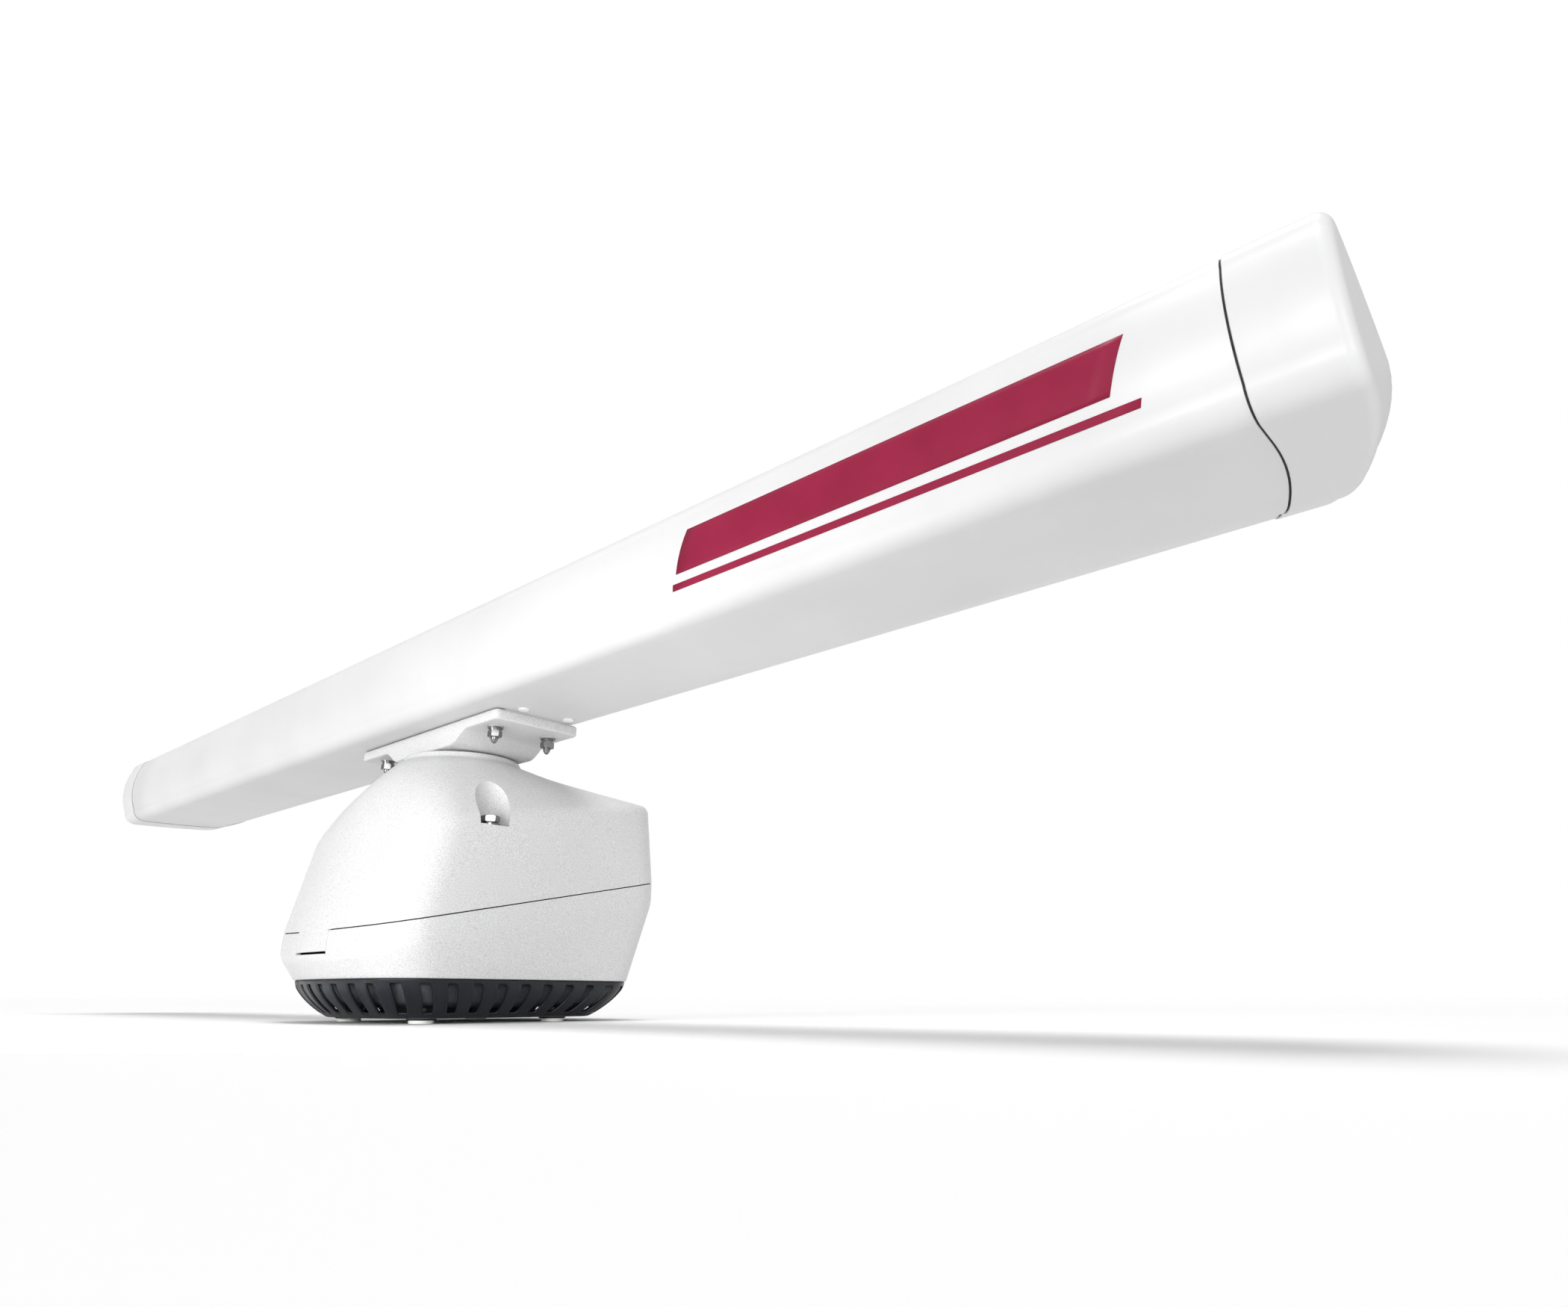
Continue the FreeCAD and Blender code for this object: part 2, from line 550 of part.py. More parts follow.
# ---------------------------------------------------------------- gears and motor
def gear_wheel(name, teeth, bore, low, width, phase):
    """A spur wheel with straight-flanked teeth, a root and a tip clearance and a little backlash."""
    module = cell("gear_module")
    pitch_radius = module * teeth / 2
    step = 2 * math.pi / teeth
    tip, root = pitch_radius + 0.9 * module, pitch_radius - 1.2 * module
    tip_half = (0.39 * module) / pitch_radius
    root_half = (1.1 * module) / pitch_radius
    points = []
    for i in range(teeth):
        centre = phase + i * step
        for radius, angle in ((root, centre - root_half), (tip, centre - tip_half),
                              (tip, centre + tip_half), (root, centre + root_half)):
            points.append(Vector(radius * math.cos(angle), radius * math.sin(angle), low))
    face = Part.Face(Part.makePolygon(points + points[:1]))
    hole = Part.makeCylinder(bore, width, Vector(0, 0, low))
    return shaped(name, face.extrude(Vector(0, 0, width)).cut(hole))


gear_centres = cell("gear_module") * (cell("gear_teeth") + cell("pinion_teeth")) / 2
MOTOR_SHAFT_RADIUS = 4
main_gear = gear_wheel("MainGear", int(cell("gear_teeth")), cell("shaft_radius") - 4, cell("gear_low"),
                       cell("gear_width"), math.pi / 2)
web = pair(pair(cylinder("11", "gear_width", "34", "34", "gear_low"), "x"), "y")
node(cut(main_gear, web), "main_gear")
pinion = gear_wheel("Pinion", int(cell("pinion_teeth")), MOTOR_SHAFT_RADIUS, cell("gear_low") - 1,
                    cell("gear_width") + 2, -math.pi / 2 + math.pi / cell("pinion_teeth"))
pinion.Placement.Base = Vector(0, gear_centres, 0)
node(pinion, "drive_pinion")
motor_y = "gear_module * (gear_teeth + pinion_teeth) / 2"
motor_top = "drive_plate_low"
node(cylinder(str(MOTOR_SHAFT_RADIUS), "gear_low + gear_width + 3 - (drive_plate_low - 20)", "0", motor_y,
              "drive_plate_low - 20"), "motor_shaft")
motor_low = "drive_plate_low - motor_length"
motor_case = turned("MotorCase", [
    ("0", motor_low), ("motor_radius - 3", motor_low), ("motor_radius", motor_low + " + 3"),
    ("motor_radius", motor_top), ("4.1", motor_top), ("4.1", motor_top + " - 20.5"),
    ("0", motor_top + " - 20.5")], "0", motor_y)
node(motor_case, "drive_motor")
plate_corners = [("-94", "-64"), ("94", "-64"), ("94", "106"), ("70", "136"), ("-70", "136"), ("-94", "106")]
plate_holes = [("0", "0", "30"), ("0", motor_y, "7")]
node(padded("DrivePlate", plate_corners, "drive_plate_low", "drive_plate_thickness", plate_holes),
     "drive_plate")
screw_head = [("0", "-4"), ("4.5", "-4"), ("5", "-3"), ("5", "0"), ("0", "0")]
plate_screws = [pair(turned("PlateScrew", screw_head, post_x, y, "drive_plate_low"), "x")
                for y in (post_low_y, post_high_y)]
node(group(*plate_screws), "drive_plate_screws")

# ---------------------------------------------------------------- microwave parts
joint_low = "drive_plate_low - 30"
node(turned("JointStator", [
    ("shaft_bore_radius - 2", joint_low), ("36", joint_low), ("36", "drive_plate_low"),
    ("shaft_bore_radius + 6", "drive_plate_low"), ("shaft_bore_radius + 6", "drive_plate_low + 8"),
    ("shaft_bore_radius - 2", "drive_plate_low + 8")]), "rotary_joint_stator")
rotor_radius = "shaft_bore_radius - 2 - running_clearance"
node(turned("JointRotor", [
    ("7", joint_low + " + 6"), (rotor_radius, joint_low + " + 6"), (rotor_radius, "gear_low - 6"),
    ("shaft_bore_radius", "gear_low - 4"), ("shaft_bore_radius", "bracket_low + 4"),
    ("7", "bracket_low + 4")]), "rotary_joint_rotor")
transceiver_size = ("120", "92", "40")
transceiver_low = joint_low + " - 44"
transceiver_y = "-6"
transceiver = block(*transceiver_size, "0", transceiver_y, transceiver_low)
fins = [block("3", "92", "9", str(x), transceiver_y, transceiver_low + " - 9") for x in range(-54, 55, 12)]
node(fuse(transceiver, *fins), "transceiver")
node(fuse(block("23", "14", "4", "0", "0", transceiver_low + " + 40"),
          block("30", "20", "1.5", "0", "0", transceiver_low + " + 40")), "waveguide_flange")
hanger = block("6", "12", "drive_plate_low - (%s)" % transceiver_low, "63.5", transceiver_y, transceiver_low)
node(pair(hanger, "x"), "transceiver_hangers")
node(block("26", "16", "8", "-56", "46", "drive_plate_low + drive_plate_thickness"), "position_sensor")

# ---------------------------------------------------------------- electronics in the lower shell
tray_low = "base_top + floor_thickness + 8"
tray_corners = rectangle("86", "84", "0", "34")
node(padded("Tray", tray_corners, tray_low, "2.5"), "chassis_tray")
standoff = cylinder("4", "8", "78", "34 + 76", floor_top)
node(pair(pair(standoff, "x"), "y", "34"), "tray_standoffs")
node(block("78", "120", "26", "-40", "34", tray_low + " + 2.5"), "power_supply")
board_low = tray_low + " + 8.5"
node(block("72", "120", "1.6", "44", "34", board_low), "interface_board")
node(pair(pair(cylinder("3", "6", "44 + 30", "34 + 54", tray_low + " + 2.5"), "x", "44"), "y", "34"),
     "board_standoffs")
node(group(block("40", "10", "9", "44", "80", board_low + " + 1.6"),
           block("24", "24", "3", "36", "30", board_low + " + 1.6"),
           block("14", "14", "2", "64", "46", board_low + " + 1.6"),
           block("30", "9", "8", "44", "-14", board_low + " + 1.6")), "board_components")
sink_plate = block("150", "150", "5", "0", "foot_centre_y", "base_top - 5")
sink_fins = [block("3", "130", "9", str(x), "foot_centre_y", "base_top - 14") for x in range(-54, 55, 12)]
sink_holes = four(cylinder("column_top_radius + 8", "20", foot_x, foot_y, "base_top - 16"), "foot_centre_y")
node(cut(fuse(sink_plate, *sink_fins), sink_holes), "heat_sink")

FAN_Y = ("-12", "56")
FAN_LOW = "base_bottom + base_wall + 1"
fan_height = "15"
frames = []
for fan_y in FAN_Y:
    frame = cut(block("60", "60", fan_height, "0", fan_y, FAN_LOW),
                cylinder("28", "40", "0", fan_y, FAN_LOW + " - 5"))
    spokes = fuse(block("60", "4", "2", "0", fan_y, FAN_LOW), block("4", "60", "2", "0", fan_y, FAN_LOW),
                  cylinder("12", "2", "0", fan_y, FAN_LOW))
    frames.append(fuse(frame, spokes))
node(group(*frames), "fan_frames")
BLADES = 7
for name, fan_y in zip(("fan_rotor_front", "fan_rotor_rear"), FAN_Y):
    hub = cylinder("11.5", "11", "0", fan_y, FAN_LOW + " + 2.6")
    blades = []
    for i in range(BLADES):
        blade = Part.makeBox(16.5, 1.6, 12, Vector(10.5, -0.8, -6))
        blade.rotate(Vector(0, 0, 0), Vector(1, 0, 0), 48)
        blade.translate(Vector(0, 0, evaluate(FAN_LOW) + 8.1))
        blade.rotate(Vector(0, 0, 0), Vector(0, 0, 1), 360 * i / BLADES)
        blade.translate(Vector(0, evaluate(fan_y), 0))
        blades.append(shaped("Blade", blade))
    node(fuse(hub, *blades), name)

# ---------------------------------------------------------------- rear face: switch and sockets
rear_face_y = "rear_end - 16"
node(cut(block("31", "3", "21", switch_x, rear_face_y + " + 1.5", port_height + " - 10.5"),
         block("24", "20", "14", switch_x, rear_face_y, port_height + " - 7")), "switch_bezel")
rocker = padded("Rocker", [("-7.2", "-6.4"), ("3", "-6.4"), ("5.6", "0"), ("3", "6.4"), ("-7.2", "6.4")],
                     "-11.6", "23.2", role="YZ_Plane")
node(place(rocker, switch_x, rear_face_y, port_height), "power_switch")
for name, port_x in (("power_socket", power_x), ("network_socket", network_x)):
    socket = cut(fuse(lying_cylinder("10.9", "30", port_x, rear_face_y + " - 18", port_height, "y"),
                      lying_cylinder("14.5", "3", port_x, rear_face_y, port_height, "y")),
                 lying_cylinder("8", "30", port_x, rear_face_y + " - 2", port_height, "y"))
    pins = [lying_cylinder("1", "3", "(%s) + 4.2 * cos(%d deg)" % (port_x, a), rear_face_y + " - 3",
                           port_height + " + 4.2 * sin(%d deg)" % a, "y") for a in range(45, 360, 90)]
    node(fuse(socket, *pins), name)
ground_stud = lying_cylinder("3", "20", "66", rear_face_y + " - 4", port_height, "y")
node(ground_stud, "ground_stud")
ground_nut = hex_prism("GroundNut", "10", "5", "3")
ground_nut.Placement.Rotation = FreeCAD.Rotation(Vector(1, 0, 0), -90)
place(ground_nut, "66", rear_face_y + " + 1.6", port_height)
ground_washer = cut(lying_cylinder("6.2", "1.6", "66", rear_face_y, port_height, "y"),
                    lying_cylinder("3.2", "8", "66", rear_face_y + " - 3", port_height, "y"))
nut_cored = cut(ground_nut, lying_cylinder("3", "20", "66", rear_face_y + " - 4", port_height, "y"))
node(group(nut_cored, ground_washer), "ground_nut_and_washer")

# ---------------------------------------------------------------- bracket and its fasteners
low_edge = [("0 - bracket_half_length", "flange_low"), ("0 - plateau_half_length - joggle_run", "flange_low"),
            ("0 - plateau_half_length - joggle_run * 0.72", "flange_low - 2"),
            ("0 - plateau_half_length - joggle_run * 0.28", "bracket_low + 2"),
            ("0 - plateau_half_length", "bracket_low")]
mirrored_edge = [(x.replace("0 - ", "0 + ").replace(" - joggle", " + joggle"), z)
                 for x, z in reversed(low_edge)]
gasket = "0.8"
top_edge = [("bracket_half_length", "array_bottom - " + gasket),
            ("0 - bracket_half_length", "array_bottom - " + gasket)]
bracket_body = doc.addObject("PartDesign::Body", "BracketBody")
bracket_sketch = sketch_of(bracket_body, "XZ_Plane", low_edge + mirrored_edge + top_edge)
bracket_pad = bracket_body.newObject("PartDesign::Pad", "Casting")
bracket_pad.Profile = bracket_sketch
bracket_pad.SideType = "Symmetric"
bind(bracket_pad, Length="2 * bracket_half_width")
pocket_half = "plateau_half_length + joggle_run"
bracket_hollow = block("2 * (%s)" % pocket_half, "2 * (bracket_half_width - bracket_wall)", "40", "0", "0",
                       "flange_low + 4")
bracket_well = block("2 * plateau_half_length", "2 * (bracket_half_width - bracket_wall)", "40", "0", "0",
                     "bracket_low + bracket_floor")
flange_seat = cylinder(shaft_flange + " + 0.2", "4.01", "0", "0", "bracket_low - 0.01")
stud_way = four(cylinder("stud_radius + 0.4", "60", "stud_x", "stud_y", "bracket_low"))
spot_face = four(cylinder("8.6", "12", "stud_x", "stud_y", "flange_low + 1 - 12"))
guide_way = block("26", "16", "40", "0", "0", "bracket_low")
SCREW_RING = 33
ring_screws = [("%s * cos(%d deg)" % (SCREW_RING, a), "%s * sin(%d deg)" % (SCREW_RING, a))
               for a in range(45, 360, 90)]
ring_ways = [cylinder("3.2", "20", x, y, "bracket_low + 4") for x, y in ring_screws]
drain_x, drain_y = "50", "44"
drains = pair(pair(cylinder("1.6", "20", drain_x, drain_y, "bracket_low"), "x"), "y")
node(cut(bracket_body, bracket_hollow, bracket_well, flange_seat, stud_way, spot_face, guide_way, drains,
         *ring_ways), "turning_bracket")
screw = [turned("RingScrew", [("0", "bracket_low + 4"), ("3.1", "bracket_low + 4"),
                              ("3.1", "bracket_low + bracket_floor"), ("5", "bracket_low + bracket_floor"),
                              ("5", "bracket_low + bracket_floor + 5"),
                              ("4.5", "bracket_low + bracket_floor + 5.5"),
                              ("0", "bracket_low + bracket_floor + 5.5")], x, y) for x, y in ring_screws]
node(group(*screw), "bracket_screws")
stud_holes = [(sign_x + "stud_x", sign_y + "stud_y", "stud_radius + 1")
              for sign_x in ("", "0 - ") for sign_y in ("", "0 - ")]
gasket_sheet = padded("Gasket", rectangle("bracket_half_length - 2", "41"), "array_bottom - " + gasket,
                      gasket, stud_holes + [("0", "0", "30")])
node(gasket_sheet, "array_gasket")

seat = "flange_low + 1"
stack = (("nylon_washers", "2", "7.4"), ("flat_washers", "1.6", "8"), ("spring_washers", "2.1", "6.6"))
top = seat
for name, thick, radius in stack:
    ring = turned("Ring", [("stud_radius + 0.2", "0 - " + thick), (radius, "0 - " + thick), (radius, "0"),
                           ("stud_radius + 0.2", "0")], "stud_x", "stud_y", top)
    node(four(ring), name)
    top = top + " - " + thick
nut_height = "6.8"
stud_nut = cut(hex_prism("StudNut", "13", nut_height), cylinder("stud_radius", "20", "0", "0", "-5"))
stud_nut_at = group(stud_nut)
place(stud_nut_at, "stud_x", "stud_y", top + " - " + nut_height)
node(four(stud_nut_at), "stud_nuts")
stud_tip = top + " - " + nut_height + " - 7"
stud = turned("Stud", [("0", stud_tip), ("1.2", stud_tip + " + 0.3"), ("2.6", stud_tip + " + 1.6"),
                       ("stud_radius", stud_tip + " + 4.4"), ("stud_radius", "array_bottom + 14"),
                       ("0", "array_bottom + 14")], "stud_x", "stud_y")
node(four(stud), "array_studs")


# ---------------------------------------------------------------- antenna array
def array_section(inset=0.0, shrink=0.0):
    """The array's cross-section on the YZ plane: a leaning bowed face, a flat underside that
    curves up at the back, and a rounded back and top."""
    front, back = cell("array_front") + inset, cell("array_back") - inset
    low, high = cell("array_bottom") + inset, cell("array_top") - inset
    mid = (low + high) / 2
    corner = 14 - inset * 0.6

    def at(y, z):
        centre_y, centre_z = (front + back) / 2, mid
        return Vector(0, centre_y + (y - centre_y) * (1 - shrink), centre_z + (z - centre_z) * (1 - shrink))

    toe = (front + 12 + corner, low)
    toe_mid = (front + 12 + 0.25 * corner, low + 0.32 * corner)
    toe_end = (front + 9, low + 1.2 * corner)
    brow = (front + 6, high - corner)
    brow_mid = (front + 6 + 0.36 * corner, high - 0.27 * corner)
    brow_end = (front + 6 + corner + 3, high)
    crown = (back - 44, high - 1)
    nape = (back - 10, high - 20)
    rump = (back, mid + 6)
    heel = (back - 40, low + 7.5)
    heel_start = (back - 64, low)
    return Part.Wire([
        Part.Arc(at(*toe), at(*toe_mid), at(*toe_end)).toShape(),
        Part.Arc(at(*toe_end), at(front, mid + 4), at(*brow)).toShape(),
        Part.Arc(at(*brow), at(*brow_mid), at(*brow_end)).toShape(),
        Part.makeLine(at(*brow_end), at(*crown)),
        Part.Arc(at(*crown), at(*nape), at(*rump)).toShape(),
        Part.Arc(at(*rump), at(back - 9, low + 26), at(*heel)).toShape(),
        Part.Arc(at(*heel), at(back - 52, low + 2), at(*heel_start)).toShape(),
        Part.makeLine(at(*heel_start), at(*toe))])


def along(wire, x):
    moved = wire.copy()
    moved.translate(Vector(x, 0, 0))
    return moved


def bar(inset, low_x, high_x):
    return Part.Face(along(array_section(inset), low_x)).extrude(Vector(high_x - low_x, 0, 0))


seam_x = cell("seam_half_length")
skin = cell("array_wall")
profile = bar(0, -seam_x, seam_x).cut(bar(skin, -seam_x - 1, seam_x + 1))
guide_hole = block("23.4", "13.4", "30", "0", "0", "array_bottom - 10")
stud_hole = four(cylinder("stud_radius", "30", "stud_x", "stud_y", "array_bottom - 10"))
plug_hole = pair(pair(cylinder("plug_radius - 1.5", "30", "plug_x", "plug_y", "array_bottom - 10"), "x"), "y")
node(cut(shaped("ArrayProfile", profile), guide_hole, stud_hole, plug_hole), "array_shell")

plug = turned("Plug", [("0", "-2"), ("plug_radius - 1.2", "-2"), ("plug_radius", "-0.8"),
                       ("plug_radius", "0"), ("plug_radius - 1.5", "0"), ("plug_radius - 1.5", "5"),
                       ("0", "5")],
              "plug_x", "plug_y", "array_bottom")
node(pair(pair(plug, "x"), "y"), "underside_plugs")

cap_end = cell("array_half_length")
cap_gap = 0.4
cap_outer = loft(along(array_section(-1.0), seam_x + cap_gap), along(array_section(-1.0), cap_end - 22))
cap_dome = loft(along(array_section(-1.0), cap_end - 22), along(array_section(0.0, 0.06), cap_end - 8),
                along(array_section(0.0, 0.22), cap_end))
cap_hollow = loft(along(array_section(6), seam_x + cap_gap - 1), along(array_section(6), cap_end - 24))
cap_lap = bar(skin + cell("lap_clearance"), seam_x - 30, seam_x + 10).cut(
    bar(skin + 3, seam_x - 31, seam_x + 11))
cap = shaped("RightCap", cap_outer.fuse(cap_dome).cut(cap_hollow).fuse(cap_lap))
node(cap, "end_cap_right")
cap_image = doc.addObject("Part::Mirroring", "LeftCap")
cap_image.Source = cap
cap_image.Normal = Vector(1, 0, 0)
node(cap_image, "end_cap_left")

guide_half = "870"
guide_z = "(array_bottom + array_top) / 2"
guide_y = "array_front + 62"
radiator = cut(block("2 * " + guide_half, "14", "26", "0", guide_y, guide_z + " - 13"),
               block("2 * %s + 10" % guide_half, "10.2", "22.9", "0", guide_y, guide_z + " - 11.45"))
SLOT_COUNT, SLOT_PITCH, SLOT_OFFSET = 71, 24, 3       # slots lie in turn above and below the middle
slot_cuts = [block("3", "6", "16", str(SLOT_PITCH * (i - SLOT_COUNT // 2)), "array_front + 55.5",
                   guide_z + " - 8 + %d" % (SLOT_OFFSET * (-1) ** i)) for i in range(SLOT_COUNT)]
node(cut(radiator, group(*slot_cuts)), "slotted_waveguide")
horn = padded("Horn", [("array_front + 69.5", "(%s) - 17.5" % guide_z),
                       ("array_front + 73", "(%s) - 17.5" % guide_z),
                       ("array_front + 73", "(%s) + 17.5" % guide_z),
                       ("array_front + 69.5", "(%s) + 17.5" % guide_z)],
              "0 - " + guide_half, "2 * " + guide_half, role="YZ_Plane")
flare_up = padded("FlareUp", [("array_front + 20", "(%s) + 34" % guide_z),
                              ("array_front + 73", "(%s) + 15" % guide_z),
                              ("array_front + 73", "(%s) + 17.5" % guide_z),
                              ("array_front + 20", "(%s) + 36.5" % guide_z)],
                  "0 - " + guide_half, "2 * " + guide_half, role="YZ_Plane")
flare_down = padded("FlareDown", [("array_front + 30", "(%s) - 32" % guide_z),
                                  ("array_front + 30", "(%s) - 34.5" % guide_z),
                                  ("array_front + 73", "(%s) - 17.5" % guide_z),
                                  ("array_front + 73", "(%s) - 15" % guide_z)],
                    "0 - " + guide_half, "2 * " + guide_half, role="YZ_Plane")
node(fuse(horn, flare_up, flare_down), "horn_flare")
core = padded("Core", [("array_front + 79", "array_bottom + 12"), ("array_back - 40", "array_bottom + 14"),
                       ("array_back - 14", guide_z), ("array_back - 34", "array_top - 14"),
                       ("array_front + 79", "array_top - 10")], "0 - " + guide_half, "2 * " + guide_half,
              role="YZ_Plane")
core_ways = fuse(block("40", "60", "200", "0", "4", "array_bottom - 40"),
                 *[block("24", "24", "20", x, y, "array_bottom + 4")
                   for x in ("stud_x", "0 - stud_x") for y in ("stud_y", "0 - stud_y")])
node(cut(core, core_ways), "foam_core")
riser_low = "bracket_low + 4.2"
node(fuse(block("22", "12", "(%s) + 6 - (%s)" % (guide_z, riser_low), "0", "0", riser_low),
          block("22", "0 - array_front - 73", "12", "0", "(array_front + 73) / 2", "(%s) - 6" % guide_z)),
     "feed_waveguide")

# ---------------------------------------------------------------- checks and STEP files
doc.recompute()
failed = [item.Label for item in doc.Objects if "Invalid" in item.State or "Error" in item.State]
if failed:
    raise RuntimeError("not rebuilt: " + ", ".join(failed))
os.makedirs("parts", exist_ok=True)
for item in nodes:
    shape = item.Shape
    if shape.isNull() or not shape.isValid() or not shape.Solids:
        raise RuntimeError("bad shape: " + item.Label)
    shape.exportStep("parts/%s.step" % item.Label)
    print("%-24s %2d solids %10.0f mm3" % (item.Label, len(shape.Solids), shape.Volume))
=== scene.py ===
# %% [markdown]
# # An open array marine radar scanner
# A long bar antenna turns on a hinged pedestal. The frame below is the finished engineering model, so this
# lesson is about looks: it gives each carried-over piece its finish, and builds again, with softer edges,
# the mouldings and castings whose rounded corners catch the light.

# %% Load the frame
import json
import math

import bmesh
import bpy
from mathutils import Matrix, Vector


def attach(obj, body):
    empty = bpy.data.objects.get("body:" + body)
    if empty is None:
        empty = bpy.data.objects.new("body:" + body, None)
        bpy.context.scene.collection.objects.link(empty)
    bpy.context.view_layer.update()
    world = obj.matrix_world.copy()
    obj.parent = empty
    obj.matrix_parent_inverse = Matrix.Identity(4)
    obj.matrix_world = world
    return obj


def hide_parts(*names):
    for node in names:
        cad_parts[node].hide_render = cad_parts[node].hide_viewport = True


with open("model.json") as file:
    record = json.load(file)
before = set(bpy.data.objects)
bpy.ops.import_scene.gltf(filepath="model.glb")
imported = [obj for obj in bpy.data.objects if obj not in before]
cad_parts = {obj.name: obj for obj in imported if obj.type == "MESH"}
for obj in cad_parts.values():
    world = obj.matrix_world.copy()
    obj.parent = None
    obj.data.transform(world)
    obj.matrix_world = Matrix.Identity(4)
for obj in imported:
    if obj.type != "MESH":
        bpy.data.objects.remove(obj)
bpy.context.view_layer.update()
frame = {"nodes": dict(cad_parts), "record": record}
MM = 0.001

# %% [markdown]
# ## Camera
# The camera sits a hand's width from the deck, just off the bar's near end, and looks up. So close to so
# long an object, the near cap looms and the far one shrinks, which is what tells the eye how long a bar is.

# %% Camera
LENS = 22.15
TILT = math.radians(19.65)
TURN = math.radians(41.92)
CAMERA_PLACE = (1.009, -0.567, 0.0234)
camera_data = bpy.data.cameras.new("camera")
camera_data.lens = LENS
camera_data.sensor_width = 36
camera_data.clip_start = 0.01
camera = bpy.data.objects.new("camera", camera_data)
camera.location = CAMERA_PLACE
camera.rotation_euler = (math.pi / 2 + TILT, 0, TURN)
bpy.context.scene.collection.objects.link(camera)
bpy.context.scene.camera = camera


# %% [markdown]
# ## Finishes
# Every finish is a small node graph on Object coordinates, which are metres here, so a noise scale of 900
# makes grains of about a millimetre. One helper starts a material and sets its plain values straight on the
# shader; others add grain, tone and bumps.

# %% Material helpers
def new_material(name, **sockets):
    """A node material; sockets holds plain values for the shader, with _ for a space in a name."""
    material = bpy.data.materials.new(name)
    material.use_nodes = True
    shader = material.node_tree.nodes["Principled BSDF"]
    for socket, value in sockets.items():
        shader.inputs[socket.replace("_", " ")].default_value = value
    return material


def add_node(material, kind, **settings):
    node = material.node_tree.nodes.new(kind)
    for name, value in settings.items():
        if name in node.inputs:
            node.inputs[name].default_value = value
        else:
            setattr(node, name, value)
    return node


def wire(material, start, start_socket, end, end_socket):
    material.node_tree.links.new(start.outputs[start_socket], end.inputs[end_socket])


def shader_of(material):
    return material.node_tree.nodes["Principled BSDF"]


def object_noise(material, scale, detail=2.0, stretch=(1, 1, 1)):
    """Noise on Object coordinates, in cells of about 1 / scale metres, stretched along an axis."""
    place = add_node(material, "ShaderNodeTexCoord")
    mapping = add_node(material, "ShaderNodeMapping")
    mapping.inputs["Scale"].default_value = stretch
    noise = add_node(material, "ShaderNodeTexNoise", Scale=scale, Detail=detail)
    wire(material, place, "Object", mapping, "Vector")
    wire(material, mapping, "Vector", noise, "Vector")
    return noise


def ramp(material, source, low, high, low_colour, high_colour):
    node = add_node(material, "ShaderNodeValToRGB")
    node.color_ramp.elements[0].position = low
    node.color_ramp.elements[1].position = high
    node.color_ramp.elements[0].color = (*low_colour, 1)
    node.color_ramp.elements[1].color = (*high_colour, 1)
    wire(material, source, "Fac", node, "Fac")
    return node


def tone(material, noise, low_colour, high_colour, low=0.35, high=0.65):
    """Colour that drifts between two tones with the noise."""
    colours = ramp(material, noise, low, high, low_colour, high_colour)
    wire(material, colours, "Color", shader_of(material), "Base Color")
    return colours


def roughen(material, noise, low, high):
    spread = add_node(material, "ShaderNodeMapRange")
    spread.inputs["To Min"].default_value = low
    spread.inputs["To Max"].default_value = high
    wire(material, noise, "Fac", spread, "Value")
    wire(material, spread, "Result", shader_of(material), "Roughness")


def bump(material, noise, strength, distance):
    node = add_node(material, "ShaderNodeBump")
    node.inputs["Strength"].default_value = strength
    node.inputs["Distance"].default_value = distance
    wire(material, noise, "Fac", node, "Height")
    wire(material, node, "Normal", shader_of(material), "Normal")


# %% [markdown]
# ### White gelcoat and white casting paint
# The bar is moulded plastic with a smooth satin gelcoat. The pedestal is an aluminium casting under a
# thicker paint with a fine sandy texture, which scatters light and shows as a faint speckle.

# %% White finishes
gelcoat = new_material("white_gelcoat", Coat_Weight=0.15, Coat_Roughness=0.25)
tone(gelcoat, object_noise(gelcoat, 9, 3), (0.615, 0.615, 0.62), (0.645, 0.645, 0.647))
roughen(gelcoat, object_noise(gelcoat, 60, 3), 0.42, 0.5)
bump(gelcoat, object_noise(gelcoat, 700, 3), 0.05, 0.0003)

casting = new_material("white_casting_paint")
tone(casting, object_noise(casting, 1100, 2), (0.50, 0.50, 0.505), (0.70, 0.70, 0.702), 0.34, 0.6)
roughen(casting, object_noise(casting, 900, 2), 0.42, 0.58)
bump(casting, object_noise(casting, 1300, 3), 0.16, 0.0006)

# %% [markdown]
# ### Blue-black base plastic
# The vented base is a satin moulding: nearly black, with a cold sheen where the studio light grazes it.

# %% Dark plastics and rubber
base_plastic = new_material("base_plastic", Specular_IOR_Level=0.4)
tone(base_plastic, object_noise(base_plastic, 14, 3), (0.004, 0.005, 0.008), (0.008, 0.010, 0.015))
roughen(base_plastic, object_noise(base_plastic, 500, 3), 0.26, 0.38)
bump(base_plastic, object_noise(base_plastic, 1800, 2), 0.08, 0.0003)

liner_plastic = new_material("liner_plastic")
tone(liner_plastic, object_noise(liner_plastic, 500, 2), (0.05, 0.055, 0.065), (0.075, 0.08, 0.09))
roughen(liner_plastic, object_noise(liner_plastic, 900, 2), 0.35, 0.5)

dark_paint = new_material("dark_case_paint", Metallic=0.2)
tone(dark_paint, object_noise(dark_paint, 800, 2), (0.03, 0.03, 0.032), (0.055, 0.055, 0.058))
roughen(dark_paint, object_noise(dark_paint, 300, 2), 0.45, 0.6)
bump(dark_paint, object_noise(dark_paint, 1500, 2), 0.1, 0.0003)

rubber = new_material("seal_rubber")
tone(rubber, object_noise(rubber, 400, 3), (0.012, 0.012, 0.013), (0.03, 0.03, 0.031))
roughen(rubber, object_noise(rubber, 900, 2), 0.7, 0.9)

